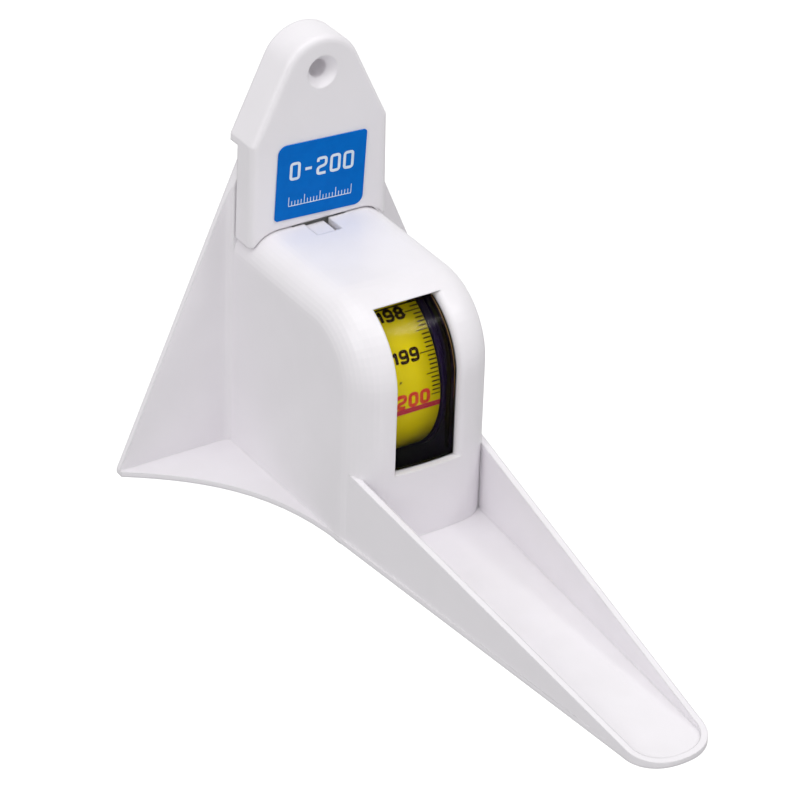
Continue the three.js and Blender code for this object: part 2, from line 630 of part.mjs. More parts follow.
// Rear cover: a plate with two ribs that hold the cassette and a sunk hole for each screw.
function rearCover() {
  const halfWidth = HOUSING_INNER_HALF_WIDTH - CLEARANCE;
  const back = COVER_RECESS;
  const front = COVER_RECESS + COVER_THICK;
  const low = FLOOR_THICK + CLEARANCE;
  const high = HOUSING_INNER_TOP - CLEARANCE;
  const radius = HOUSING_EDGE_RADIUS - HOUSING_WALL;
  const side = [
    new THREE.Vector2(halfWidth, low),
    ...arcPoints(halfWidth - radius, high - radius, radius, 0, RIGHT_ANGLE, ARC_STEPS),
  ];
  const plate = alongDepth(mirroredOutline(side), back, front);
  const ribs = [-COVER_RIB_OFFSET, COVER_RIB_OFFSET].map((x) =>
    block(x - COVER_RIB_THICK / 2, -(CASSETTE_BACK_DEPTH - CLEARANCE), low + COVER_BOSS_RADIUS,
      x + COVER_RIB_THICK / 2, -front + FUSE, COVER_RIB_HEIGHT));
  const holes = coverScrewPlaces().map(([x, z]) => turnedAlongDepth(x, z, [
    [0, back - OVERRUN],
    [COVER_SCREW_HEAD_RADIUS + CLEARANCE + OVERRUN, back - OVERRUN],
    [COVER_SCREW_RADIUS + CLEARANCE, back + COVER_SCREW_HEAD_RADIUS - COVER_SCREW_RADIUS],
    [COVER_SCREW_RADIUS + CLEARANCE, front + OVERRUN],
    [0, front + OVERRUN],
  ], SMALL_ROUND_STEPS));
  return cutAll(joinAll([plate, ...ribs]), holes);
}

// Countersunk screw that points away from the wall, with a cross recess in its head.
function coverScrew(x, z) {
  const headEnd = COVER_RECESS + COVER_SCREW_HEAD_RADIUS - COVER_SCREW_RADIUS;
  const shankEnd = COVER_RECESS + COVER_SCREW_LENGTH;
  const body = turnedAlongDepth(x, z, [
    [0, COVER_RECESS],
    [COVER_SCREW_HEAD_RADIUS, COVER_RECESS],
    [COVER_SCREW_RADIUS, headEnd],
    [COVER_SCREW_RADIUS, shankEnd - COVER_SCREW_RADIUS],
    [0, shankEnd],
  ], SMALL_ROUND_STEPS);
  return cutAll(body, crossRecess(x, z, COVER_SCREW_HEAD_RADIUS, COVER_RECESS));
}

// Two crossed grooves for a screwdriver.
function crossRecess(x, z, headRadius, faceDepth) {
  const reach = headRadius * RECESS_REACH_SHARE;
  const half = headRadius * RECESS_HALF_WIDTH_SHARE;
  const bottom = faceDepth + headRadius * RECESS_DEPTH_SHARE;
  return [
    block(x - reach, -bottom, z - half, x + reach, -faceDepth + OVERRUN, z + half),
    block(x - half, -bottom, z - reach, x + half, -faceDepth + OVERRUN, z + reach),
  ];
}

// Outline of the cassette in Y and Z: round about the reel above, square below.
function cassetteOutline(inset) {
  const radius = CASSETTE_RADIUS - inset;
  const corner = CASSETTE_CORNER_RADIUS - inset;
  const front = -REEL_DEPTH - radius;
  const back = -REEL_DEPTH + radius;
  const bottom = CASSETTE_BOTTOM + inset;
  return new THREE.Shape([
    ...arcPoints(-REEL_DEPTH, REEL_HEIGHT, radius, 0, Math.PI, ROUND_STEPS),
    ...arcPoints(front + corner, bottom + corner, corner, Math.PI, Math.PI + RIGHT_ANGLE, ARC_STEPS / 2),
    ...arcPoints(back - corner, bottom + corner, corner, -RIGHT_ANGLE, 0, ARC_STEPS / 2),
  ]);
}

// Centres of the cassette's screws in Y and Z, in its two lower corners.
function cassetteScrewPlaces() {
  const z = CASSETTE_BOTTOM + CASSETTE_BOSS_INSET;
  const reach = CASSETTE_RADIUS - CASSETTE_BOSS_INSET;
  return [[-REEL_DEPTH - reach, z], [-REEL_DEPTH + reach, z]];
}

// One half of the cassette: a side plate with its share of the rim, which is open towards the
// window and where the tape leaves.
function cassetteHalf(side) {
  const between = (a, b) => [Math.min(side * a, side * b), Math.max(side * a, side * b)];
  const middle = CLEARANCE / 2;
  const plate = alongX(cassetteOutline(0), ...between(CASSETTE_INNER_HALF_WIDTH, CASSETTE_HALF_WIDTH));
  const rimSpan = between(middle, CASSETTE_HALF_WIDTH - FUSE);
  const hollow = alongX(cassetteOutline(CASSETTE_WALL), ...between(0, CASSETTE_HALF_WIDTH));
  const rim = alongX(cassetteOutline(0), ...rimSpan).subtract(hollow);
  const viewGap = centredBlock(CASSETTE_INNER_HALF_WIDTH, REEL_DEPTH, HOUSING_DEPTH * 2,
    WINDOW_SILL_HEIGHT - LENS_MARGIN, HOUSING_HEIGHT);
  const tapeGap = centredBlock(CASSETTE_INNER_HALF_WIDTH, 0, REEL_DEPTH - HUB_RADIUS / 2,
    REEL_HEIGHT - CASSETTE_RADIUS / 2, HOUSING_HEIGHT);
  const bosses = cassetteScrewPlaces().map(([y, z]) =>
    rodAlongX(y, z, CASSETTE_BOSS_RADIUS, ...rimSpan, SMALL_ROUND_STEPS));
  const bearing = rodAlongX(-REEL_DEPTH, REEL_HEIGHT, ARBOR_RADIUS + CLEARANCE,
    ...between(0, CASSETTE_HALF_WIDTH + OVERRUN), SMALL_ROUND_STEPS);
  const screwHoles = cassetteScrewPlaces().map(([y, z]) => rodAlongX(y, z,
    CASSETTE_SCREW_RADIUS + CLEARANCE, ...between(-OVERRUN, CASSETTE_HALF_WIDTH + OVERRUN), SMALL_ROUND_STEPS));
  const ring = cutAll(rim, [viewGap, tapeGap]);
  return cutAll(joinAll([plate, ring, ...bosses]), [bearing, ...screwHoles]);
}

// Pan-head screw through both halves of the cassette, put in from the right.
function cassetteScrew(y, z) {
  const seat = CASSETTE_HALF_WIDTH + CLEARANCE;
  const head = rodAlongX(y, z, CASSETTE_SCREW_HEAD_RADIUS, seat, seat + CASSETTE_SCREW_HEAD_HEIGHT,
    SMALL_ROUND_STEPS);
  const shank = rodAlongX(y, z, CASSETTE_SCREW_RADIUS, seat - CASSETTE_SCREW_LENGTH, seat + FUSE,
    SMALL_ROUND_STEPS);
  return head.add(shank);
}

// Fixed axle of the reel, held by both halves of the cassette and slotted for the spring's end.
function arbor() {
  const rod = rodAlongX(-REEL_DEPTH, REEL_HEIGHT, ARBOR_RADIUS, -CASSETTE_HALF_WIDTH, CASSETTE_HALF_WIDTH,
    ROUND_STEPS);
  const slot = block(-REEL_INNER_HALF_WIDTH + SPRING_WIDTH_MARGIN, -REEL_DEPTH - ARBOR_SLOT_WIDTH / 2,
    REEL_HEIGHT - ARBOR_RADIUS / 2, REEL_INNER_HALF_WIDTH - SPRING_WIDTH_MARGIN,
    -REEL_DEPTH + ARBOR_SLOT_WIDTH / 2, REEL_HEIGHT + ARBOR_RADIUS + OVERRUN);
  return rod.subtract(slot);
}

// Flange with its bearing boss and a ring of round holes, on one side of the reel.
function reelFlange(side) {
  const span = (a, b) => [Math.min(side * a, side * b), Math.max(side * a, side * b)];
  const disc = rodAlongX(-REEL_DEPTH, REEL_HEIGHT, REEL_FLANGE_RADIUS,
    ...span(REEL_INNER_HALF_WIDTH, REEL_OUTER_HALF_WIDTH), ROUND_STEPS * 2);
  const boss = rodAlongX(-REEL_DEPTH, REEL_HEIGHT, REEL_BOSS_RADIUS,
    ...span(REEL_INNER_HALF_WIDTH - SPRING_WIDTH_MARGIN / 2, REEL_OUTER_HALF_WIDTH), ROUND_STEPS);
  const bore = rodAlongX(-REEL_DEPTH, REEL_HEIGHT, ARBOR_RADIUS + ARBOR_CLEARANCE,
    ...span(0, REEL_OUTER_HALF_WIDTH + OVERRUN), ROUND_STEPS);
  const holes = [];
  for (let i = 0; i < REEL_LIGHTENING_COUNT; i += 1) {
    const angle = (FULL_TURN * i) / REEL_LIGHTENING_COUNT;
    holes.push(rodAlongX(-REEL_DEPTH + REEL_LIGHTENING_CIRCLE * Math.cos(angle),
      REEL_HEIGHT + REEL_LIGHTENING_CIRCLE * Math.sin(angle), REEL_LIGHTENING_RADIUS,
      ...span(0, REEL_OUTER_HALF_WIDTH + OVERRUN), SMALL_ROUND_STEPS));
  }
  return cutAll(disc.add(boss), [bore, ...holes]);
}

// Left flange and drum of the reel in one piece.
function reelHub() {
  const outer = rodAlongX(-REEL_DEPTH, REEL_HEIGHT, HUB_RADIUS, -REEL_INNER_HALF_WIDTH - FUSE,
    REEL_INNER_HALF_WIDTH - CLEARANCE, ROUND_STEPS * 2);
  const inner = rodAlongX(-REEL_DEPTH, REEL_HEIGHT, HUB_RADIUS - HUB_WALL, -REEL_OUTER_HALF_WIDTH,
    REEL_OUTER_HALF_WIDTH, ROUND_STEPS * 2);
  return reelFlange(-1).add(outer.subtract(inner));
}

// Flat strip that follows a path of points in Y and Z, with its thickness on both sides of the
// path and its width centred on the reel's middle.
function strip(path, thick, halfWidth) {
  const loops = path.map((point, i) => {
    const before = path[Math.max(i - 1, 0)];
    const after = path[Math.min(i + 1, path.length - 1)];
    const along = after.clone().sub(before).normalize();
    const across = new THREE.Vector2(-along.y, along.x).multiplyScalar(thick / 2);
    const one = point.clone().add(across);
    const other = point.clone().sub(across);
    return [
      new THREE.Vector3(-halfWidth, one.x, one.y),
      new THREE.Vector3(halfWidth, one.x, one.y),
      new THREE.Vector3(halfWidth, other.x, other.y),
      new THREE.Vector3(-halfWidth, other.x, other.y),
    ];
  });
  return loft(loops);
}

// Spiral around the reel's axis: the radius goes evenly from one value to another.
function spiralPath(startRadius, endRadius, startAngle, sweep, steps) {
  const points = [];
  for (let i = 0; i <= steps; i += 1) {
    const share = i / steps;
    const radius = startRadius + (endRadius - startRadius) * share;
    const angle = startAngle + sweep * share;
    points.push(new THREE.Vector2(-REEL_DEPTH + radius * Math.cos(angle), REEL_HEIGHT + radius * Math.sin(angle)));
  }
  return points;
}

// Clock spring between the arbor and the drum.
function springPath() {
  const inner = REEL_BOSS_RADIUS + SPRING_THICK;
  const outer = HUB_RADIUS - HUB_WALL - CLEARANCE - SPRING_THICK / 2;
  const coil = spiralPath(inner, outer, RIGHT_ANGLE, SPRING_TURNS * FULL_TURN,
    SPRING_TURNS * SPRING_STEPS_PER_TURN);
  const tail = new THREE.Vector2(-REEL_DEPTH, REEL_HEIGHT + ARBOR_RADIUS / 2);
  return [tail, ...coil];
}

function recoilSpring() {
  const halfWidth = REEL_INNER_HALF_WIDTH - SPRING_WIDTH_MARGIN - CLEARANCE;
  return strip(springPath(), SPRING_THICK, halfWidth);
}

// Wound tape under the outer turn, as one plain ring.
function tapeCore() {
  const ring = rodAlongX(-REEL_DEPTH, REEL_HEIGHT, CORE_RADIUS, -TAPE_HALF_WIDTH, TAPE_HALF_WIDTH,
    ROUND_STEPS * 2);
  const bore = rodAlongX(-REEL_DEPTH, REEL_HEIGHT, HUB_RADIUS + CLEARANCE / 2, -TAPE_HALF_WIDTH - OVERRUN,
    TAPE_HALF_WIDTH + OVERRUN, ROUND_STEPS * 2);
  return ring.subtract(bore);
}

// Lean of the free tape towards the wall between the reel and the clamp.
function tapeLean() {
  const rise = CLAMP_BOTTOM - REEL_HEIGHT;
  const rollBack = REEL_DEPTH - (ROLL_RADIUS - TAPE_SHOWN_THICK / 2);
  return Math.atan((rollBack - CLAMP_TAPE_DEPTH) / rise);
}

// Outer turn of the roll, from where the tape leaves it at the back once round to its start.
function windingPath() {
  const radius = ROLL_RADIUS - TAPE_SHOWN_THICK / 2;
  return spiralPath(radius, radius - WINDING_DROP, -tapeLean(), -FULL_TURN, WINDING_STEPS);
}

function tapeWinding() {
  return strip(windingPath(), TAPE_SHOWN_THICK, TAPE_HALF_WIDTH);
}

// Free tape from just above the reel to just below the clamp.
function tapeRun() {
  const start = windingPath()[0];
  const end = new THREE.Vector2(-CLAMP_TAPE_DEPTH, CLAMP_BOTTOM);
  const along = end.clone().sub(start).normalize().multiplyScalar(CLEARANCE);
  return strip([start.add(along), end.sub(along)], TAPE_SHOWN_THICK, TAPE_HALF_WIDTH);
}

// End of the tape, held flat under the clamp.
function tapeEnd() {
  const seat = centredBlock(TAPE_HALF_WIDTH, CLAMP_TAPE_DEPTH - TAPE_SHOWN_THICK / 2,
    CLAMP_TAPE_DEPTH + TAPE_SHOWN_THICK / 2, CLAMP_BOTTOM, CLAMP_BOTTOM + CLAMP_HEIGHT - CLEARANCE);
  return cutAll(seat, clampScrewPlaces().map(([x, z]) => rodAlongDepth(x, z,
    CLAMP_SCREW_RADIUS + CLEARANCE, 0, HANGER_DEPTH, SMALL_ROUND_STEPS)));
}

// Right side of the hanger's outline, drawn in by an inset: a side that leans in a little, a
// slope from the shoulder and a round arch.
function hangerSide(inset) {
  const corner = new THREE.Vector2(HANGER_HALF_WIDTH - inset, HANGER_CORNER_HEIGHT);
  const shoulder = new THREE.Vector2(HANGER_SHOULDER_HALF_WIDTH - inset, HANGER_SHOULDER_HEIGHT);
  const archRadius = HANGER_ARCH_RADIUS - inset;
  const toCentre = new THREE.Vector2(0, HANGER_ARCH_CENTRE).sub(shoulder);
  const slope = toCentre.angle() - Math.asin(archRadius / toCentre.length());
  const arch = arcPoints(0, HANGER_ARCH_CENTRE, archRadius, slope - RIGHT_ANGLE, RIGHT_ANGLE, FINE_ARC_STEPS);
  return [corner, shoulder, ...arch];
}

// Outer body of the hanger: slices that step inwards where its front edge rounds off.
function hangerBody() {
  const slices = [[0, 0]];
  for (let i = 0; i <= EDGE_STEPS; i += 1) {
    const angle = (RIGHT_ANGLE * i) / EDGE_STEPS;
    const depth = HANGER_DEPTH - HANGER_EDGE_RADIUS * (1 - Math.sin(angle));
    slices.push([depth, HANGER_EDGE_RADIUS * (1 - Math.cos(angle))]);
  }
  return loft(slices.map(([depth, inset]) =>
    mirroredPoints(hangerSide(inset)).map((point) => new THREE.Vector3(point.x, -depth, point.y))));
}

// The rounded top of the housing, grown by a margin, from one depth to another.
function seatForm(margin, near, far) {
  const radius = HOUSING_EDGE_RADIUS + margin;
  const halfWidth = HOUSING_HALF_WIDTH + margin;
  const side = [
    new THREE.Vector2(halfWidth, 0),
    ...arcPoints(halfWidth - radius, HOUSING_HEIGHT + margin - radius, radius, 0, RIGHT_ANGLE, ARC_STEPS),
  ];
  return alongDepth(mirroredOutline(side), near, far);
}

// Room behind the hanger's lower part, where the slide's plate passes along the wall.
function plateRecess() {
  return centredBlock(HANGER_HALF_WIDTH + OVERRUN, -OVERRUN, HANGER_RECESS, 0, HANGER_STEP_HEIGHT);
}

// Pad inside the hanger that the end of the tape is clamped against.
function clampPad() {
  const far = HANGER_DEPTH - HANGER_WALL + FUSE;
  const near = CLAMP_TAPE_DEPTH + TAPE_SHOWN_THICK / 2 + CLEARANCE;
  return centredBlock(CLAMP_HALF_WIDTH, near, far, CLAMP_BOTTOM, CLAMP_BOTTOM + CLAMP_HEIGHT);
}

// Hanger: a shell that is open at the back, with a boss around the wall screw, ribs beside it
// and the pad for the tape clamp.
function hangerShell() {
  const room = alongDepth(mirroredOutline(hangerSide(HANGER_WALL)), -OVERRUN, HANGER_INNER_DEPTH);
  const bottomWall = seatForm(HANGER_SEAT_CLEARANCE + HANGER_WALL, -OVERRUN * 2, HANGER_DEPTH);
  const tapeMouth = centredBlock(SLOT_HALF_WIDTH, -OVERRUN, HANGER_INNER_DEPTH,
    HOUSING_HEIGHT, HOUSING_HEIGHT + HANGER_SEAT_CLEARANCE + HANGER_WALL + OVERRUN);
  const seat = seatForm(HANGER_SEAT_CLEARANCE, -OVERRUN, HANGER_DEPTH + OVERRUN);
  const shell = cutAll(hangerBody(), [room.subtract(bottomWall), tapeMouth, seat, plateRecess()]);
  const boss = rodAlongDepth(0, SCREW_HOLE_HEIGHT, SCREW_BOSS_RADIUS, 0, HANGER_INNER_DEPTH + FUSE, ROUND_STEPS);
  const ribLow = HANGER_STEP_HEIGHT;
  const rib = centredBlock(HANGER_SHOULDER_HALF_WIDTH - FUSE, 0, HANGER_INNER_DEPTH + FUSE,
    ribLow, ribLow + HANGER_RIB_THICK);
  const spine = centredBlock(HANGER_RIB_THICK / 2, 0, HANGER_INNER_DEPTH + FUSE, ribLow, SCREW_HOLE_HEIGHT);
  const sinkFace = HANGER_DEPTH + OVERRUN;
  const sink = turnedAlongDepth(0, SCREW_HOLE_HEIGHT, [
    [0, -OVERRUN],
    [SCREW_HOLE_RADIUS, -OVERRUN],
    [SCREW_HOLE_RADIUS, HANGER_DEPTH - SCREW_SINK_DEPTH],
    [SCREW_SINK_RADIUS, HANGER_DEPTH],
    [SCREW_SINK_RADIUS, sinkFace],
    [0, sinkFace],
  ], ROUND_STEPS);
  const pilots = clampScrewPlaces().map(([x, z]) => rodAlongDepth(x, z,
    CLAMP_SCREW_RADIUS + CLEARANCE, 0, HANGER_INNER_DEPTH + HANGER_WALL / 2, SMALL_ROUND_STEPS));
  return cutAll(joinAll([shell, boss, rib, spine, clampPad()]), [sink, ...pilots]);
}

function clampScrewPlaces() {
  const z = CLAMP_BOTTOM + CLAMP_HEIGHT / 2;
  return [[-CLAMP_SCREW_OFFSET, z], [CLAMP_SCREW_OFFSET, z]];
}

// Plate that holds the end of the tape against the hanger's pad.
function tapeClamp() {
  const far = CLAMP_TAPE_DEPTH - TAPE_SHOWN_THICK / 2 - CLEARANCE;
  const plate = centredBlock(CLAMP_HALF_WIDTH, far - CLAMP_THICK, far, CLAMP_BOTTOM, CLAMP_BOTTOM + CLAMP_HEIGHT);
  return cutAll(plate, clampScrewPlaces().map(([x, z]) => rodAlongDepth(x, z,
    CLAMP_SCREW_RADIUS + CLEARANCE, 0, HANGER_DEPTH, SMALL_ROUND_STEPS)));
}

// Small screw with a flat head on the wall side of the clamp.
function clampScrew(x, z) {
  const seat = CLAMP_TAPE_DEPTH - TAPE_SHOWN_THICK / 2 - CLEARANCE - CLAMP_THICK - CLEARANCE / 2;
  const head = rodAlongDepth(x, z, CLAMP_SCREW_HEAD_RADIUS, seat - CLAMP_SCREW_HEAD_HEIGHT, seat,
    SMALL_ROUND_STEPS);
  const shank = rodAlongDepth(x, z, CLAMP_SCREW_RADIUS, seat - FUSE, HANGER_INNER_DEPTH, SMALL_ROUND_STEPS);
  return head.add(shank);
}

// Label on the hanger's face, turned a little as it was stuck on.
function labelPlate() {
  const outline = roundedOutline(LABEL_HALF_WIDTH, LABEL_HALF_HEIGHT,
    [LABEL_TIGHT_RADIUS, LABEL_WIDE_RADIUS, LABEL_TIGHT_RADIUS, LABEL_WIDE_RADIUS]);
  const near = HANGER_DEPTH + LABEL_GAP;
  const plate = alongDepth(outline, near, near + LABEL_THICK);
  return plate.rotate([0, -LABEL_TILT_DEGREES, 0]).translate([0, 0, LABEL_HEIGHT]);
}

// Least distance between the faces of a strip's turns, measured between points that are at
// least half a turn apart.
function leastGap(path, thick, stepsPerTurn) {
  let least = Infinity;
  for (let i = 0; i < path.length; i += 1) {
    for (let j = i + Math.ceil(stepsPerTurn / 2); j < path.length; j += 1) {
      least = Math.min(least, path[i].distanceTo(path[j]) - thick);
    }
  }
  return least;
}

const model = new THREE.Group();
model.name = 'drawn_from_underside';
model.position.set(0, 0, -SCREW_HOLE_HEIGHT);

// Adds one named piece with its own material.
function addPiece(name, solid, finish) {
  const mesh = new THREE.Mesh(toGeometry(solid), new THREE.MeshStandardMaterial(finish));
  mesh.name = name;
  model.add(mesh);
}

function addHanger() {
  addPiece('hanger_shell', hangerShell(), WHITE_ABS);
  addPiece('label_plate', labelPlate(), LABEL_BLUE);
  addPiece('tape_clamp', tapeClamp(), STEEL);
  clampScrewPlaces().forEach(([x, z], i) => addPiece(`tape_clamp_screw_${i + 1}`, clampScrew(x, z), STEEL));
  addPiece('tape_end', tapeEnd(), TAPE_BACK);
}

function addHeadSlide() {
  addPiece('head_slide_shell', headSlideShell(), WHITE_ABS);
  addPiece('window_lens', windowLens(), CLEAR_ACRYLIC);
  addPiece('rear_cover', rearCover(), COVER_ABS);
  coverScrewPlaces().forEach(([x, z], i) => addPiece(`rear_cover_screw_${i + 1}`, coverScrew(x, z), STEEL));
  addPiece('cassette_left', cassetteHalf(-1), DARK_ABS);
  addPiece('cassette_right', cassetteHalf(1), DARK_ABS);
  cassetteScrewPlaces().forEach(([y, z], i) =>
    addPiece(`cassette_screw_${i + 1}`, cassetteScrew(y, z), STEEL));
  addPiece('arbor', arbor(), STEEL);
  addPiece('recoil_spring', recoilSpring(), SPRING_STEEL);
}

function addReel() {
  addPiece('reel_hub', reelHub(), DARK_ABS);
  addPiece('reel_flange', reelFlange(1), DARK_ABS);
  addPiece('tape_core', tapeCore(), TAPE_YELLOW);
  addPiece('tape_winding', tapeWinding(), TAPE_YELLOW);
  addPiece('tape_run', tapeRun(), TAPE_BACK);
}

addHanger();
addHeadSlide();
addReel();

console.log('least gap of the tape winding to itself, mm:',
  leastGap(windingPath(), TAPE_SHOWN_THICK, WINDING_STEPS).toFixed(2));
console.log('least gap of the recoil spring to itself, mm:',
  leastGap(springPath(), SPRING_THICK, SPRING_STEPS_PER_TURN).toFixed(2));

const stadiometer = new THREE.Group();
stadiometer.name = 'stadiometer';
stadiometer.add(model);

export default stadiometer;
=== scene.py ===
"""Looks of a wall height measure whose tape winds back into its sliding head.

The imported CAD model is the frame. The hanger is screwed to the wall, the head slide hangs below it
on the tape, and the reel inside the slide pays the tape out. Everything is in metres, in the frame
of the CAD model: X to the right, -Y to the person in front, +Z up.
"""

import logging
import math
from collections.abc import Callable, Iterable, Sequence
from dataclasses import dataclass, field
from enum import Enum
from functools import cache

import bmesh
import bpy
from mathutils import Matrix, Quaternion, Vector

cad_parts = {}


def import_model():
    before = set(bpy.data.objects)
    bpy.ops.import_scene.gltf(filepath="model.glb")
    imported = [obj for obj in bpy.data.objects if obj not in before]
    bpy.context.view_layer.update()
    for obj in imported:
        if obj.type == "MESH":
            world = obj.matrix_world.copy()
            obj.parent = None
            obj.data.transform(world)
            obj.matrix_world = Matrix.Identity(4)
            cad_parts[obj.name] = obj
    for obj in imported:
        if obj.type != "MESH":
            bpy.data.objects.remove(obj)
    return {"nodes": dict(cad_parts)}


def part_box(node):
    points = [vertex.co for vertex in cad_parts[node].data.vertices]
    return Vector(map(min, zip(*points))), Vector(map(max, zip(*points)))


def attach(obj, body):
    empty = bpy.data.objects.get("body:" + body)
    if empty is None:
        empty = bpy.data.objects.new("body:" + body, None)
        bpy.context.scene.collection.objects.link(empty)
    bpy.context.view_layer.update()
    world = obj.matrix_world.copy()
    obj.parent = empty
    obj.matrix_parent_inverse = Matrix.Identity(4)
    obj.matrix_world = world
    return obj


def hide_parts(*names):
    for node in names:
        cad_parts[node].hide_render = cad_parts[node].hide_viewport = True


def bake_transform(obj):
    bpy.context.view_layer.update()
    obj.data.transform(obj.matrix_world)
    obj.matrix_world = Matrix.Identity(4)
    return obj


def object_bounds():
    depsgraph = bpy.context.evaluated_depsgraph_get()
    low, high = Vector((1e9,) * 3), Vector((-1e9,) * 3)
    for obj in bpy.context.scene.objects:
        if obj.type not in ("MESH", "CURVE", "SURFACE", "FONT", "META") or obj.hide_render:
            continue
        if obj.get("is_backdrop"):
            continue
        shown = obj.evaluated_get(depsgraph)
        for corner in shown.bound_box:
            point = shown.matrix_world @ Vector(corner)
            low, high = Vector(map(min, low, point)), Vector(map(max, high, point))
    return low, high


MM = 0.001
SAME_PLACE = 0.001 * MM
FULL_TURN = 2 * math.pi
QUARTER_TURN = math.pi / 2

Colour = tuple[float, float, float, float]
WHITE: Colour = (1.0, 1.0, 1.0, 1.0)
Flat = tuple[float, float]
Surface = Callable[[float, float], Vector]

log = logging.getLogger("height_measure")


class Body(Enum):
    """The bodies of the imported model."""

    HANGER = "hanger"
    HEAD_SLIDE = "head_slide"
    REEL = "reel"


class Slot(Enum):
    """The material slots of the record."""

    WHITE_ABS = "white_abs"
    COVER_ABS = "cover_abs"
    DARK_ABS = "dark_abs"
    CLEAR_ACRYLIC = "clear_acrylic"
    LABEL_BLUE = "label_blue"
    TAPE_PRINT = "tape_print"
    TAPE_BACK = "tape_back"
    STEEL = "steel"
    SPRING_STEEL = "spring_steel"


class Port(Enum):
    """Kinds of socket on a node group."""

    NUMBER = "NodeSocketFloat"
    VECTOR = "NodeSocketVector"


def srgb(red: int, green: int, blue: int) -> Colour:
    """Turns a display colour into the linear colour that a shader takes.

    Args:
        red: Red from 0 to 255.
        green: Green from 0 to 255.
        blue: Blue from 0 to 255.

    Returns:
        The linear colour with full alpha.
    """
    linear = [
        share / 12.92 if share <= 0.04045 else ((share + 0.055) / 1.055) ** 2.4
        for share in (red / 255, green / 255, blue / 255)
    ]
    return linear[0], linear[1], linear[2], 1.0


@cache
def node_box(name: str) -> tuple[Vector, Vector]:
    """Reads the box of a CAD node once.

    Args:
        name: Name of the node.

    Returns:
        Its lowest and its highest corner.
    """
    low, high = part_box(name)
    return Vector(low), Vector(high)


@dataclass(frozen=True)
class Graph:
    """Short ways to place and join nodes in one node tree."""

    tree: bpy.types.NodeTree

    def feed(self, node: bpy.types.Node, label: str | int, value: object) -> None:
        """Sets an input to a value, or joins it to another node's output.

        Args:
            node: The node that takes the value.
            label: Name or number of its input.
            value: A constant or an output socket.
        """
        socket = node.inputs[label]
        if isinstance(value, bpy.types.NodeSocket):
            self.tree.links.new(value, socket)
        else:
            socket.default_value = value

    def add(self, kind: str, inputs: dict | None = None, **settings: object) -> bpy.types.Node:
        """Places a node.

        Args:
            kind: Blender's name of the node type.
            inputs: What each input takes, by name or number.
            **settings: Properties of the node.

        Returns:
            The new node.
        """
        node = self.tree.nodes.new(kind)
        for name, value in settings.items():
            setattr(node, name, value)
        for label, value in (inputs or {}).items():
            self.feed(node, label, value)
        return node

    def maths(self, operation: str, first: object, second: object = 0.0) -> bpy.types.NodeSocket:
        """Places a Math node.

        Args:
            operation: Blender's name of the operation.
            first: The first operand.
            second: The second operand, where the operation takes one.

        Returns:
            The result.
        """
        return self.add("ShaderNodeMath", {0: first, 1: second}, operation=operation).outputs[0]

    def steps(self, value: object, start: float, end: float) -> bpy.types.NodeSocket:
        """Rises smoothly from 0 at one value to 1 at another.

        Args:
            value: What is read.
            start: Where the rise starts, which may be above the end.
            end: Where the rise ends.

        Returns:
            The share from 0 to 1.
        """
        inputs = {"Value": value, "From Min": start, "From Max": end}
        node = self.add("ShaderNodeMapRange", inputs, interpolation_type="SMOOTHSTEP")
        return node.outputs["Result"]

    def between(self, share: object, low: float, high: float) -> bpy.types.NodeSocket:
        """Turns a share from 0 to 1 into a number between two others.

        Args:
            share: The share.
            low: The number for 0.
            high: The number for 1.

        Returns:
            The number.
        """
        inputs = {"Value": share, "To Min": low, "To Max": high}
        return self.add("ShaderNodeMapRange", inputs).outputs["Result"]

    def mix(self, share: object, first: object, second: object) -> bpy.types.NodeSocket:
        """Mixes two colours.

        Args:
            share: Share of the second colour.
            first: The first colour.
            second: The second colour.

        Returns:
            The mixed colour.
        """
        node = self.add("ShaderNodeMix", {0: share, 6: first, 7: second}, data_type="RGBA")
        return node.outputs[2]

    def noise(self, place: object, scale: object, detail: float) -> bpy.types.NodeSocket:
        """Places a noise texture.

        Args:
            place: The coordinates that it reads.
            scale: How many features it has to the metre.
            detail: How many finer layers it adds.

        Returns:
            The noise, from 0 to 1.
        """
        inputs = {"Vector": place, "Scale": scale, "Detail": detail}
        return self.add("ShaderNodeTexNoise", inputs).outputs[0]

    def object_place(self) -> bpy.types.NodeSocket:
        """The point on the piece in its own coordinates, in metres."""
        return self.add("ShaderNodeTexCoord").outputs["Object"]


@dataclass(frozen=True)
class ShaderGroup:
    """An effect that several finishes share, kept as one node group."""

    name: str
    takes: tuple[tuple[str, Port], ...]
    gives: tuple[tuple[str, Port], ...]

    def wire(self, graph: Graph, taken: bpy.types.NodeOutputs) -> dict[str, bpy.types.NodeSocket]:
        """Builds the inside of the group.

        Args:
            graph: The group's tree.
            taken: The group's inputs, as sockets to read from.

        Returns:
            What feeds each output, by its name.
        """
        raise NotImplementedError

    def tree(self) -> bpy.types.NodeTree:
        """Finds the group's tree, or builds it the first time.

        Returns:
            The node tree.
        """
        found = bpy.data.node_groups.get(self.name)
        if found is not None:
            return found
        tree = bpy.data.node_groups.new(self.name, "ShaderNodeTree")
        for label, port in self.takes:
            tree.interface.new_socket(name=label, in_out="INPUT", socket_type=port.value)
        for label, port in self.gives:
            tree.interface.new_socket(name=label, in_out="OUTPUT", socket_type=port.value)
        graph = Graph(tree)
        source = graph.add("NodeGroupInput")
        target = graph.add("NodeGroupOutput")
        for label, socket in self.wire(graph, source.outputs).items():
            graph.feed(target, label, socket)
        return tree

    def place(self, graph: Graph, values: dict[str, object]) -> bpy.types.NodeOutputs:
        """Places the group in a material.

        Args:
            graph: The material's tree.
            values: What its inputs take, by name.

        Returns:
            The group's outputs.
        """
        node = graph.add("ShaderNodeGroup", node_tree=self.tree())
        for label, value in values.items():
            graph.feed(node, label, value)
        return node.outputs


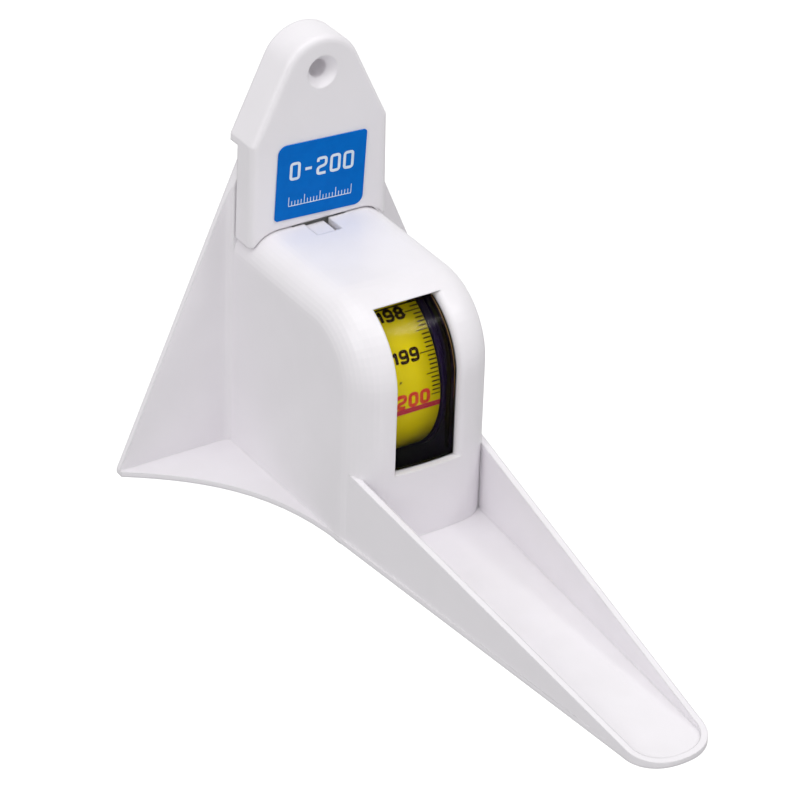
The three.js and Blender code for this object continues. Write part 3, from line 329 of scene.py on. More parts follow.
class RoundedEdges(ShaderGroup):
    """Rounds the shading of sharp edges and masks them, for wear and highlights."""

    SAMPLES = 6
    TURNED = (0.995, 0.8)

    def wire(self, graph: Graph, taken: bpy.types.NodeOutputs) -> dict[str, bpy.types.NodeSocket]:
        """Builds the inside of the group.

        Args:
            graph: The group's tree.
            taken: The group's inputs, as sockets to read from.

        Returns:
            What feeds each output, by its name.
        """
        bevel = graph.add("ShaderNodeBevel", {"Radius": taken["Radius"]}, samples=self.SAMPLES)
        plain = graph.add("ShaderNodeNewGeometry").outputs["Normal"]
        inputs = {0: bevel.outputs["Normal"], 1: plain}
        turned = graph.add("ShaderNodeVectorMath", inputs, operation="DOT_PRODUCT")
        edge = graph.steps(turned.outputs["Value"], *self.TURNED)
        return {"Normal": bevel.outputs["Normal"], "Edge": edge}


class MouldGrain(ShaderGroup):
    """Skin of injection-moulded plastic: a fine grain, slow cloudiness and a rare dark speck."""

    FINE_LAYERS = 2.0
    SLOW_LAYERS = 3.0
    SLOW_SHARE = 2.0
    SPECK_EDGE = (0.018, 0.008)
    BARE_CELLS = 0.55
    CLOUDS = (0.3, 0.7)

    def wire(self, graph: Graph, taken: bpy.types.NodeOutputs) -> dict[str, bpy.types.NodeSocket]:
        """Builds the inside of the group.

        Args:
            graph: The group's tree.
            taken: The group's inputs, as sockets to read from.

        Returns:
            What feeds each output, by its name.
        """
        place = graph.object_place()
        fine_scale = graph.maths("DIVIDE", 1.0, taken["Grain Size"])
        fine = graph.noise(place, fine_scale, self.FINE_LAYERS)
        slow_scale = graph.maths("DIVIDE", 1.0, taken["Mottle Size"])
        slow = graph.noise(place, slow_scale, self.SLOW_LAYERS)
        height = graph.maths("ADD", fine, graph.maths("MULTIPLY", slow, self.SLOW_SHARE))
        inputs = {"Vector": place, "Scale": graph.maths("DIVIDE", 1.0, taken["Speck Spacing"])}
        cells = graph.add("ShaderNodeTexVoronoi", inputs)
        near = graph.steps(cells.outputs["Distance"], *self.SPECK_EDGE)
        split = graph.add("ShaderNodeSeparateColor", {"Color": cells.outputs["Color"]})
        chosen = graph.maths("GREATER_THAN", split.outputs[0], self.BARE_CELLS)
        return {
            "Height": height,
            "Mottle": graph.steps(slow, *self.CLOUDS),
            "Speck": graph.maths("MULTIPLY", near, chosen),
        }


class HandlingMarks(ShaderGroup):
    """Hair-fine scratches and dull patches from handling."""

    SLANT = (0.5, 0.9, 0.35)
    DRAWN_OUT = (1.0, 26.0, 26.0)
    SCRATCH_LAYERS = 1.0
    SCRATCHED = (0.62, 0.86)
    PATCHES_TO_A_SCRATCH = 1.6
    PATCH_LAYERS = 2.0
    PATCHY = (0.2, 0.8)

    def wire(self, graph: Graph, taken: bpy.types.NodeOutputs) -> dict[str, bpy.types.NodeSocket]:
        """Builds the inside of the group.

        Args:
            graph: The group's tree.
            taken: The group's inputs, as sockets to read from.

        Returns:
            What feeds each output, by its name.
        """
        place = graph.object_place()
        turned = graph.add("ShaderNodeMapping", {"Vector": place, "Rotation": self.SLANT})
        inputs = {"Vector": turned.outputs[0], "Scale": self.DRAWN_OUT}
        drawn_out = graph.add("ShaderNodeMapping", inputs).outputs[0]
        scale = graph.maths("DIVIDE", 1.0, taken["Scratch Length"])
        lines = graph.noise(drawn_out, scale, self.SCRATCH_LAYERS)
        patch_scale = graph.maths("MULTIPLY", scale, self.PATCHES_TO_A_SCRATCH)
        patches = graph.noise(place, patch_scale, self.PATCH_LAYERS)
        return {
            "Scratch": graph.steps(lines, *self.SCRATCHED),
            "Patch": graph.steps(patches, *self.PATCHY),
        }


class SettledDust(ShaderGroup):
    """Dust on what faces up, thicker in patches."""

    LAYERS = 4.0
    FACING_UP = (0.2, 0.95)
    THICKER = (0.35, 0.7)

    def wire(self, graph: Graph, taken: bpy.types.NodeOutputs) -> dict[str, bpy.types.NodeSocket]:
        """Builds the inside of the group.

        Args:
            graph: The group's tree.
            taken: The group's inputs, as sockets to read from.

        Returns:
            What feeds each output, by its name.
        """
        normal = graph.add("ShaderNodeNewGeometry").outputs["Normal"]
        rise = graph.add("ShaderNodeSeparateXYZ", {0: normal}).outputs["Z"]
        scale = graph.maths("DIVIDE", 1.0, taken["Patch Size"])
        patches = graph.noise(graph.object_place(), scale, self.LAYERS)
        facing = graph.steps(rise, *self.FACING_UP)
        return {"Dust": graph.maths("MULTIPLY", facing, graph.steps(patches, *self.THICKER))}


class DrawnMetal(ShaderGroup):
    """Fine lines along X that drawing or turning leaves on metal."""

    LAYERS = 3.0
    DRAWN_OUT = (0.06, 1.0, 1.0)
    LINED = (0.3, 0.7)

    def wire(self, graph: Graph, taken: bpy.types.NodeOutputs) -> dict[str, bpy.types.NodeSocket]:
        """Builds the inside of the group.

        Args:
            graph: The group's tree.
            taken: The group's inputs, as sockets to read from.

        Returns:
            What feeds each output, by its name.
        """
        inputs = {"Vector": graph.object_place(), "Scale": self.DRAWN_OUT}
        drawn_out = graph.add("ShaderNodeMapping", inputs).outputs[0]
        scale = graph.maths("DIVIDE", 1.0, taken["Line Width"])
        lines = graph.noise(drawn_out, scale, self.LAYERS)
        return {"Height": lines, "Line": graph.steps(lines, *self.LINED)}


class WoundLayers(ShaderGroup):
    """Layers of a roll around an axis along X, seen on its flat sides."""

    AWAY_FROM_AXIS = (0.0, 1.0, 1.0)
    WOBBLE_SCALE = 160.0
    WOBBLE_LAYERS = 2.0
    HALF_LAYER = 0.5
    ROUNDED = (0.0, 0.3)
    SEAM = (0.14, 0.0)

    def wire(self, graph: Graph, taken: bpy.types.NodeOutputs) -> dict[str, bpy.types.NodeSocket]:
        """Builds the inside of the group.

        Args:
            graph: The group's tree.
            taken: The group's inputs, as sockets to read from.

        Returns:
            What feeds each output, by its name.
        """
        inputs = {0: graph.object_place(), 1: taken["Axis"]}
        away = graph.add("ShaderNodeVectorMath", inputs, operation="SUBTRACT").outputs[0]
        inputs = {0: away, 1: self.AWAY_FROM_AXIS}
        flat = graph.add("ShaderNodeVectorMath", inputs, operation="MULTIPLY")
        reach = graph.add("ShaderNodeVectorMath", {0: flat.outputs[0]}, operation="LENGTH")
        turns = graph.maths("DIVIDE", reach.outputs["Value"], taken["Layer"])
        uneven = graph.noise(graph.object_place(), self.WOBBLE_SCALE, self.WOBBLE_LAYERS)
        share = graph.maths("PINGPONG", graph.maths("ADD", turns, uneven), self.HALF_LAYER)
        return {
            "Height": graph.steps(share, *self.ROUNDED),
            "Seam": graph.steps(share, *self.SEAM),
        }


class TapeFibre(ShaderGroup):
    """Crossed threads under the coating of a tape, read from its flat coordinates."""

    HALF_THREAD = 0.5
    WEAR_SCALE = 210.0
    WEAR_LAYERS = 4.0
    WORN = (0.4, 0.75)

    def wire(self, graph: Graph, taken: bpy.types.NodeOutputs) -> dict[str, bpy.types.NodeSocket]:
        """Builds the inside of the group.

        Args:
            graph: The group's tree.
            taken: The group's inputs, as sockets to read from.

        Returns:
            What feeds each output, by its name.
        """
        flat = graph.add("ShaderNodeUVMap").outputs[0]
        split = graph.add("ShaderNodeSeparateXYZ", {0: flat})
        ways = []
        for axis in ("X", "Y"):
            turns = graph.maths("DIVIDE", split.outputs[axis], taken["Thread"])
            ways.append(graph.maths("PINGPONG", turns, self.HALF_THREAD))
        height = graph.maths("ADD", ways[0], ways[1])
        wear = graph.noise(flat, self.WEAR_SCALE, self.WEAR_LAYERS)
        return {"Height": height, "Wear": graph.steps(wear, *self.WORN)}


ROUNDED_EDGES = RoundedEdges(
    "rounded_edges", (("Radius", Port.NUMBER),), (("Normal", Port.VECTOR), ("Edge", Port.NUMBER))
)
MOULD_GRAIN = MouldGrain(
    "mould_grain",
    (("Grain Size", Port.NUMBER), ("Mottle Size", Port.NUMBER), ("Speck Spacing", Port.NUMBER)),
    (("Height", Port.NUMBER), ("Mottle", Port.NUMBER), ("Speck", Port.NUMBER)),
)
HANDLING_MARKS = HandlingMarks(
    "handling_marks",
    (("Scratch Length", Port.NUMBER),),
    (("Scratch", Port.NUMBER), ("Patch", Port.NUMBER)),
)
SETTLED_DUST = SettledDust(
    "settled_dust", (("Patch Size", Port.NUMBER),), (("Dust", Port.NUMBER),)
)
DRAWN_METAL = DrawnMetal(
    "drawn_metal",
    (("Line Width", Port.NUMBER),),
    (("Height", Port.NUMBER), ("Line", Port.NUMBER)),
)
WOUND_LAYERS = WoundLayers(
    "wound_layers",
    (("Axis", Port.VECTOR), ("Layer", Port.NUMBER)),
    (("Height", Port.NUMBER), ("Seam", Port.NUMBER)),
)
TAPE_FIBRE = TapeFibre(
    "tape_fibre", (("Thread", Port.NUMBER),), (("Height", Port.NUMBER), ("Wear", Port.NUMBER))
)


@dataclass(frozen=True)
class Finish:
    """A finish that makes one material and keeps it for every piece that shares it."""

    name: str
    slot: Slot
    shine: float = field(default=0.5, kw_only=True)

    def build(self, graph: Graph, shader: bpy.types.Node) -> None:
        """Wires the material.

        Args:
            graph: The material's tree.
            shader: Its Principled BSDF.
        """
        raise NotImplementedError

    def material(self) -> bpy.types.Material:
        """Finds the finish's material, or builds it the first time.

        Returns:
            The material.
        """
        found = bpy.data.materials.get(self.name)
        if found is not None:
            return found
        material = bpy.data.materials.new(self.name)
        material.use_nodes = True
        graph = Graph(material.node_tree)
        shader = material.node_tree.nodes["Principled BSDF"]
        graph.feed(shader, "Specular IOR Level", self.shine)
        self.build(graph, shader)
        return material


@dataclass(frozen=True)
class MouldedPlastic(Finish):
    """Injection-moulded plastic with softened edges, faint clouding and a little dust."""

    colour: Colour
    clouded: Colour
    edge_colour: Colour
    dust_colour: Colour = srgb(196, 192, 188)
    speck_colour: Colour = srgb(120, 116, 118)
    dust_share: float = 0.05
    edge_share: float = 0.5
    edge_radius: float = 0.6 * MM
    grain_size: float = 0.9 * MM
    grain_depth: float = 0.004 * MM
    mottle_size: float = 14 * MM
    speck_spacing: float = 21 * MM
    scratch_length: float = 30 * MM
    dust_patch: float = 9 * MM
    speck_share: float = 0.7
    scratch_wear: float = 0.2
    dust_wear: float = 0.5
    smooth: float = 0.29
    dull: float = 0.35
    ior: float = 1.5

    def build(self, graph: Graph, shader: bpy.types.Node) -> None:
        """Wires the material.

        Args:
            graph: The material's tree.
            shader: Its Principled BSDF.
        """
        edges = ROUNDED_EDGES.place(graph, {"Radius": self.edge_radius})
        grain = MOULD_GRAIN.place(
            graph,
            {
                "Grain Size": self.grain_size,
                "Mottle Size": self.mottle_size,
                "Speck Spacing": self.speck_spacing,
            },
        )
        marks = HANDLING_MARKS.place(graph, {"Scratch Length": self.scratch_length})
        dust = SETTLED_DUST.place(graph, {"Patch Size": self.dust_patch})["Dust"]
        colour = graph.mix(grain["Mottle"], self.colour, self.clouded)
        for mask, share, over in (
            (edges["Edge"], self.edge_share, self.edge_colour),
            (dust, self.dust_share, self.dust_colour),
            (grain["Speck"], self.speck_share, self.speck_colour),
        ):
            colour = graph.mix(graph.maths("MULTIPLY", mask, share), colour, over)
        worn = marks["Patch"]
        for mask, share in ((marks["Scratch"], self.scratch_wear), (dust, self.dust_wear)):
            worn = graph.maths("ADD", worn, graph.maths("MULTIPLY", mask, share))
        bump = graph.add(
            "ShaderNodeBump",
            {"Height": grain["Height"], "Normal": edges["Normal"], "Distance": self.grain_depth},
        )
        graph.feed(shader, "Base Color", colour)
        graph.feed(shader, "Roughness", graph.between(worn, self.smooth, self.dull))
        graph.feed(shader, "Normal", bump.outputs["Normal"])
        graph.feed(shader, "IOR", self.ior)


@dataclass(frozen=True)
class PrintInk(Finish):
    """Ink or film on a smooth ground, a little uneven in its cover."""

    colour: Colour
    thin: Colour
    grain_size: float = 0.25 * MM
    grain_depth: float = 0.003 * MM
    mottle_size: float = 2.2 * MM
    speck_spacing: float = 6 * MM
    scratch_length: float = 12 * MM
    smooth: float = 0.3
    dull: float = 0.5

    def build(self, graph: Graph, shader: bpy.types.Node) -> None:
        """Wires the material.

        Args:
            graph: The material's tree.
            shader: Its Principled BSDF.
        """
        grain = MOULD_GRAIN.place(
            graph,
            {
                "Grain Size": self.grain_size,
                "Mottle Size": self.mottle_size,
                "Speck Spacing": self.speck_spacing,
            },
        )
        marks = HANDLING_MARKS.place(graph, {"Scratch Length": self.scratch_length})
        colour = graph.mix(grain["Mottle"], self.colour, self.thin)
        inputs = {"Height": grain["Height"], "Distance": self.grain_depth}
        bump = graph.add("ShaderNodeBump", inputs)
        graph.feed(shader, "Base Color", colour)
        graph.feed(shader, "Roughness", graph.between(marks["Patch"], self.smooth, self.dull))
        graph.feed(shader, "Normal", bump.outputs["Normal"])


@dataclass(frozen=True)
class CoatedTape(Finish):
    """Coated fibreglass tape, with its threads just showing through."""

    colour: Colour
    worn: Colour
    thread: float = 0.42 * MM
    thread_depth: float = 0.008 * MM
    wear_share: float = 0.5
    smooth: float = 0.28
    dull: float = 0.42

    def build(self, graph: Graph, shader: bpy.types.Node) -> None:
        """Wires the material.

        Args:
            graph: The material's tree.
            shader: Its Principled BSDF.
        """
        fibre = TAPE_FIBRE.place(graph, {"Thread": self.thread})
        share = graph.maths("MULTIPLY", fibre["Wear"], self.wear_share)
        colour = graph.mix(share, self.colour, self.worn)
        inputs = {"Height": fibre["Height"], "Distance": self.thread_depth}
        bump = graph.add("ShaderNodeBump", inputs)
        graph.feed(shader, "Base Color", colour)
        graph.feed(shader, "Roughness", graph.between(fibre["Wear"], self.smooth, self.dull))
        graph.feed(shader, "Normal", bump.outputs["Normal"])


@dataclass(frozen=True)
class RolledTape(Finish):
    """The tape below the outer turn, with its layers on the flat sides."""

    colour: Colour
    seam: Colour
    axis: tuple[float, float, float]
    layer: float = 0.3 * MM
    layer_depth: float = 0.06 * MM
    smooth: float = 0.4
    dull: float = 0.6

    def build(self, graph: Graph, shader: bpy.types.Node) -> None:
        """Wires the material.

        Args:
            graph: The material's tree.
            shader: Its Principled BSDF.
        """
        layers = WOUND_LAYERS.place(graph, {"Axis": self.axis, "Layer": self.layer})
        inputs = {"Height": layers["Height"], "Distance": self.layer_depth}
        bump = graph.add("ShaderNodeBump", inputs)
        graph.feed(shader, "Base Color", graph.mix(layers["Seam"], self.colour, self.seam))
        graph.feed(shader, "Roughness", graph.between(layers["Seam"], self.smooth, self.dull))
        graph.feed(shader, "Normal", bump.outputs["Normal"])


@dataclass(frozen=True)
class ClearAcrylic(Finish):
    """Clear acrylic, coated so that it hardly reflects, with faint hair marks."""

    colour: Colour
    marked: Colour
    scratch_length: float = 16 * MM
    smooth: float = 0.07
    dull: float = 0.12
    ior: float = 1.11

    def build(self, graph: Graph, shader: bpy.types.Node) -> None:
        """Wires the material.

        Args:
            graph: The material's tree.
            shader: Its Principled BSDF.
        """
        marks = HANDLING_MARKS.place(graph, {"Scratch Length": self.scratch_length})
        graph.feed(shader, "Base Color", graph.mix(marks["Scratch"], self.colour, self.marked))
        graph.feed(shader, "Roughness", graph.between(marks["Scratch"], self.smooth, self.dull))
        graph.feed(shader, "Transmission Weight", 1.0)
        graph.feed(shader, "IOR", self.ior)


@dataclass(frozen=True)
class BareMetal(Finish):
    """Drawn or turned steel with dull flecks."""

    colour: Colour
    dark: Colour
    smooth: float = 0.16
    dull: float = 0.4
    line_width: float = 0.12 * MM
    line_depth: float = 0.01 * MM
    edge_radius: float = 0.12 * MM
    dust_patch: float = 2.5 * MM
    dust_wear: float = 0.5

    def build(self, graph: Graph, shader: bpy.types.Node) -> None:
        """Wires the material.

        Args:
            graph: The material's tree.
            shader: Its Principled BSDF.
        """
        lines = DRAWN_METAL.place(graph, {"Line Width": self.line_width})
        edges = ROUNDED_EDGES.place(graph, {"Radius": self.edge_radius})
        dust = SETTLED_DUST.place(graph, {"Patch Size": self.dust_patch})["Dust"]
        bump = graph.add(
            "ShaderNodeBump",
            {"Height": lines["Height"], "Normal": edges["Normal"], "Distance": self.line_depth},
        )
        colour = graph.mix(lines["Line"], self.colour, self.dark)
        graph.feed(shader, "Base Color", graph.mix(edges["Edge"], colour, self.colour))
        worn = graph.maths("ADD", lines["Line"], graph.maths("MULTIPLY", dust, self.dust_wear))
        graph.feed(shader, "Roughness", graph.between(worn, self.smooth, self.dull))
        graph.feed(shader, "Normal", bump.outputs["Normal"])
        graph.feed(shader, "Metallic", 1.0)


WHITE_SHELL = MouldedPlastic(
    "white_shell", Slot.WHITE_ABS, srgb(239, 236, 240), srgb(237, 234, 238), srgb(243, 241, 243)
)
COVER_PLASTIC = MouldedPlastic(
    "cover_plastic",
    Slot.COVER_ABS,
    srgb(226, 222, 226),
    srgb(222, 218, 222),
    srgb(236, 233, 236),
    smooth=0.36,
    dull=0.52,
    grain_size=0.4 * MM,
    grain_depth=0.012 * MM,
)
DARK_PLASTIC = MouldedPlastic(
    "dark_plastic",
    Slot.DARK_ABS,
    srgb(27, 8, 56),
    srgb(21, 6, 46),
    srgb(46, 26, 84),
    shine=0.12,
    dust_colour=srgb(92, 84, 108),
    speck_colour=srgb(70, 62, 88),
    dust_share=0.12,
    smooth=0.24,
    dull=0.42,
)
CLEAR_PANE = ClearAcrylic(
    "clear_pane", Slot.CLEAR_ACRYLIC, srgb(250, 250, 247), srgb(244, 243, 240)
)
# Painted shade: the near-black sides and skirt of the pane stand in for the shade in the gaps beside
# the raised field.
PAINTED_SHADE_SIDE = PrintInk(
    "painted_shade_side", Slot.CLEAR_ACRYLIC, srgb(9, 5, 9), srgb(15, 9, 12), shine=0.05
)
# Painted reflection: the amber bead stands in for the yellow tape reflected in the pane's edge.
PAINTED_REFLECTION_BEAD = PrintInk(
    "painted_reflection_bead", Slot.CLEAR_ACRYLIC, srgb(156, 122, 74), srgb(124, 92, 52), shine=0.3
)
LABEL_FILM = PrintInk(
    "label_film", Slot.LABEL_BLUE, srgb(0, 108, 200), srgb(0, 104, 195), shine=0.05
)
LABEL_INK = PrintInk(
    "label_ink", Slot.LABEL_BLUE, srgb(226, 236, 246), srgb(206, 224, 242), shine=0.2
)
TAPE_FACE = CoatedTape(
    "tape_face", Slot.TAPE_PRINT, srgb(222, 202, 6), srgb(208, 186, 8), shine=0.08
)
TAPE_BACK = CoatedTape("tape_back", Slot.TAPE_BACK, srgb(226, 226, 230), srgb(214, 214, 218))
SCALE_BLACK = PrintInk(
    "scale_black", Slot.TAPE_PRINT, srgb(34, 18, 8), srgb(48, 28, 8), shine=0.08
)
SCALE_RED = PrintInk(
    "scale_red", Slot.TAPE_PRINT, srgb(208, 58, 46), srgb(212, 84, 52), shine=0.08
)
RULE_RED = PrintInk(
    "rule_red", Slot.TAPE_PRINT, srgb(182, 42, 70), srgb(188, 62, 72), shine=0.08
)
STEEL = BareMetal("steel", Slot.STEEL, srgb(206, 206, 208), srgb(168, 168, 172))
SPRING_STEEL = BareMetal(
    "spring_steel",
    Slot.SPRING_STEEL,
    srgb(150, 154, 162),
    srgb(104, 108, 118),
    smooth=0.2,
    dull=0.36,
)


@dataclass(frozen=True)
class Patchwork:
    """Points and faces of a mesh while it is being gathered."""

    points: list[Vector] = field(default_factory=list)
    faces: list[tuple[int, ...]] = field(default_factory=list)

    def add_face(self, corners: Iterable[Vector]) -> None:
        """Adds one face with points of its own.

        Args:
            corners: Its corners, anticlockwise from outside.
        """
        first = len(self.points)
        self.points.extend(corners)
        self.faces.append(tuple(range(first, len(self.points))))

    def add_grid(self, rows: Sequence[Sequence[Vector]], closed: bool = False) -> None:
        """Adds a grid of four-sided faces.

        Args:
            rows: Rows of points with the same count.
            closed: Whether the last column joins the first one.
        """
        first = len(self.points)
        width = len(rows[0])
        for row in rows:
            self.points.extend(row)
        for i in range(len(rows) - 1):
            for j in range(width if closed else width - 1):
                after = (j + 1) % width
                low = first + i * width
                self.faces.append((low + j, low + after, low + width + after, low + width + j))

    def add_rod(self, rows: Sequence[Sequence[Vector]]) -> None:
        """Adds a closed grid with one face over each end.

        Args:
            rows: Cross-sections with the same count of points.
        """
        first = len(self.points)
        self.add_grid(rows, closed=True)
        width = len(rows[0])
        self.faces.append(tuple(reversed(range(first, first + width))))
        last = len(self.points) - width
        self.faces.append(tuple(range(last, len(self.points))))

    def piece(
        self, name: str, finish: Finish, sharp_degrees: float = 40.0
    ) -> bpy.types.Object:
        """Turns what was gathered into an object with its finish.

        Args:
            name: Name of the piece.
            finish: Its finish.
            sharp_degrees: Edges that turn by more than this stay sharp.

        Returns:
            The object, in place in the frame.
        """
        mesh = bpy.data.meshes.new(name)
        mesh.from_pydata([tuple(point) for point in self.points], [], self.faces)
        mesh.validate()
        mesh.polygons.foreach_set("use_smooth", [True] * len(mesh.polygons))
        mesh.set_sharp_from_angle(angle=math.radians(sharp_degrees))
        mesh.materials.append(finish.material())
        piece = bpy.data.objects.new(name, mesh)
        bpy.context.scene.collection.objects.link(piece)
        return piece


@dataclass(frozen=True)
class TapeStrip:
    """A strip of tape with softened edges, and flat coordinates for its threads."""

    half_width: float
    half_thick: float
    soft: float = 0.06 * MM
    sharp_degrees: float = 50.0

    def section(self) -> list[Flat]:
        """Works out the cross-section with its softened edges.

        Returns:
            Its corners, as places across and through the tape.
        """
        wide, thick, soft = self.half_width, self.half_thick, self.soft
        return [
            (-wide + soft, thick),
            (wide - soft, thick),
            (wide, thick - soft),
            (wide, soft - thick),
            (wide - soft, -thick),
            (-wide + soft, -thick),
            (-wide, soft - thick),
            (-wide, thick - soft),
        ]

    def piece(
        self, name: str, finish: Finish, rows: Sequence[Sequence[Vector]], run: float
    ) -> bpy.types.Object:
        """Makes the strip from its cross-sections.

        Args:
            name: Name of the piece.
            finish: Its finish.
            rows: The cross-sections, each with its corners in the order of section.
            run: Length of the strip.

        Returns:
            The piece, with its flat coordinates in metres.
        """
        strip = Patchwork()
        strip.add_rod(rows)
        piece = strip.piece(name, finish, self.sharp_degrees)
        layer = piece.data.uv_layers.new(name="flat")
        section = self.section()
        for loop in piece.data.loops:
            row, column = divmod(loop.vertex_index, len(section))
            layer.data[loop.index].uv = (section[column][0], run * row / (len(rows) - 1))
        return piece


def settle(piece: bpy.types.Object, body: Body, finish: Finish, *nodes: str) -> None:
    """Puts a new piece on its body and says what it stands for.

    Args:
        piece: The piece.
        body: The body it rides on.
        finish: Its finish; not used.
        *nodes: The CAD nodes that it replaces.
    """
    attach(piece, body.value)
    if nodes:
        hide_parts(*nodes)
    log.info("%s rides on %s, replaces %s", piece.name, body.value, ", ".join(nodes) or "nothing")


def dress(nodes: dict[str, bpy.types.Object], names: Iterable[str], finish: Finish) -> None:
    """Gives CAD nodes their finish.

    Args:
        nodes: The nodes of the frame by name.
        names: Names of the nodes to dress.
        finish: Their finish.
    """
    for name in names:
        for slot in nodes[name].material_slots:
            slot.material = finish.material()
        log.info("%s keeps its CAD shape, finished as %s", name, finish.name)


@dataclass(frozen=True)
class Stroke:
    """One pen stroke of a numeral in a box one unit wide and high."""

    points: tuple[Flat, ...]
    closed: bool = False


NUMERALS: dict[str, tuple[Stroke, ...]] = {
    "0": (Stroke(((0, 0), (1, 0), (1, 1), (0, 1)), closed=True),),
    "1": (Stroke(((0.5, 0.74), (0.92, 1), (0.92, 0))),),
    "2": (Stroke(((0, 0.78), (0, 1), (1, 1), (1, 0.52), (0, 0.4), (0, 0), (1, 0))),),
    "4": (Stroke(((0.6, 1), (0, 0.3), (1, 0.3))), Stroke(((0.74, 0.6), (0.74, 0)))),
    "5": (Stroke(((1, 1), (0.08, 1), (0, 0.56), (1, 0.56), (1, 0), (0, 0), (0, 0.2))),),
    "6": (
        Stroke(((0, 0), (1, 0), (1, 0.56), (0, 0.56)), closed=True),
        Stroke(((0.95, 0.8), (0.95, 1), (0, 1), (0, 0.3))),
    ),
    "7": (Stroke(((0, 1), (1, 1), (0.4, 0))),),
    "8": (
        Stroke(((0, 0), (1, 0), (1, 0.52), (0, 0.52)), closed=True),
        Stroke(((0.05, 0.52), (0.95, 0.52), (0.95, 1), (0.05, 1)), closed=True),
    ),
    "9": (
        Stroke(((0, 0.44), (1, 0.44), (1, 1), (0, 1)), closed=True),
        Stroke(((1, 0.7), (1, 0), (0.05, 0), (0.05, 0.2))),
    ),
    "-": (Stroke(((0.1, 0.5), (0.9, 0.5))),),
}


@dataclass(frozen=True)
class NumeralPen:
    """Draws square numerals with rounded corners as flat ribbons on a surface."""

    height: float
    width: float
    pitch: float
    weight: float
    corner_steps: int = 4
    corner_reach: float = 0.9
    longest_step: float = 0.4 * MM
    narrowest_turn: float = 0.5

    def rounded(self, stroke: Stroke) -> list[Vector]:
        """Scales a stroke to size and rounds its corners.

        Args:
            stroke: The stroke in its unit box.

        Returns:
            Points of its middle line.
        """
        wide = self.width - self.weight
        high = self.height - self.weight
        corners = [Vector((x * wide, y * high)) for x, y in stroke.points]
        count = len(corners)
        path = []
        for i, corner in enumerate(corners):
            if not stroke.closed and i in (0, count - 1):
                path.append(corner)
                continue
            before = corners[i - 1] - corner
            after = corners[(i + 1) % count] - corner
            reach = min(self.weight * self.corner_reach, before.length / 2, after.length / 2)
            start = corner + before.normalized() * reach
            end = corner + after.normalized() * reach
            for step in range(self.corner_steps + 1):
                share = step / self.corner_steps
                path.append(start.lerp(corner, share).lerp(corner.lerp(end, share), share))
        fine = []
        for i, point in enumerate(path):
            after = path[(i + 1) % len(path)]
            last = i == len(path) - 1 and not stroke.closed
            cuts = 1 if last else max(1, math.ceil((after - point).length / self.longest_step))
            fine.extend(point.lerp(after, step / cuts) for step in range(cuts))
        return fine

    def ribbon(self, path: Sequence[Vector], closed: bool) -> list[tuple[Vector, Vector]]:
        """Widens a path to the pen's weight.

        Args:
            path: Points of the middle line.
            closed: Whether the last point joins the first one.

        Returns:
            The left and right point at each point of the path.
        """
        count = len(path)
        sides = []
        for i, point in enumerate(path):
            before = path[i - 1] if closed or i > 0 else None
            after = path[(i + 1) % count] if closed or i < count - 1 else None
            into = (point - before).normalized() if before is not None else None
            out = (after - point).normalized() if after is not None else None
            along = (into + out).normalized() if into and out else (into or out)
            widen = 1.0
            if into and out:
                widen = 1 / max(self.narrowest_turn, along.dot(out))
            across = Vector((-along.y, along.x)) * (self.weight / 2 * widen)
            sides.append((point + across, point - across))
        return sides

    def draw(
        self, work: Patchwork, text: str, right: float, middle: float, surface: Surface
    ) -> None:
        """Draws numerals that end at a right edge.

        Args:
            work: What gathers the faces.
            text: The numerals.
            right: Where the last numeral's box ends.
            middle: Middle height of the numerals.
            surface: Maps flat places to points in space.
        """
        for i, sign in enumerate(text):
            left = right - self.width - (len(text) - 1 - i) * self.pitch
            low = middle - self.height / 2
            shift = Vector((left + self.weight / 2, low + self.weight / 2))
            for stroke in NUMERALS[sign]:
                sides = self.ribbon(self.rounded(stroke), stroke.closed)
                pairs = sides + sides[:1] if stroke.closed else sides
                for (a, b), (c, d) in zip(pairs, pairs[1:]):
                    work.add_face([surface(*(corner + shift)) for corner in (a, b, d, c)])


def draw_bar(
    work: Patchwork, box: tuple[float, float, float, float], surface: Surface, cuts: int = 1
) -> None:
    """Draws a flat bar on a surface.

    Args:
        work: What gathers the faces.
        box: Left, low, right and high end of the bar.
        surface: Maps flat places to points in space.
        cuts: How many faces the bar has one above the other.
    """
    left, low, right, high = box
    for i in range(cuts):
        start = low + (high - low) * i / cuts
        end = low + (high - low) * (i + 1) / cuts
        places = ((left, start), (right, start), (right, end), (left, end))
        work.add_face([surface(*place) for place in places])


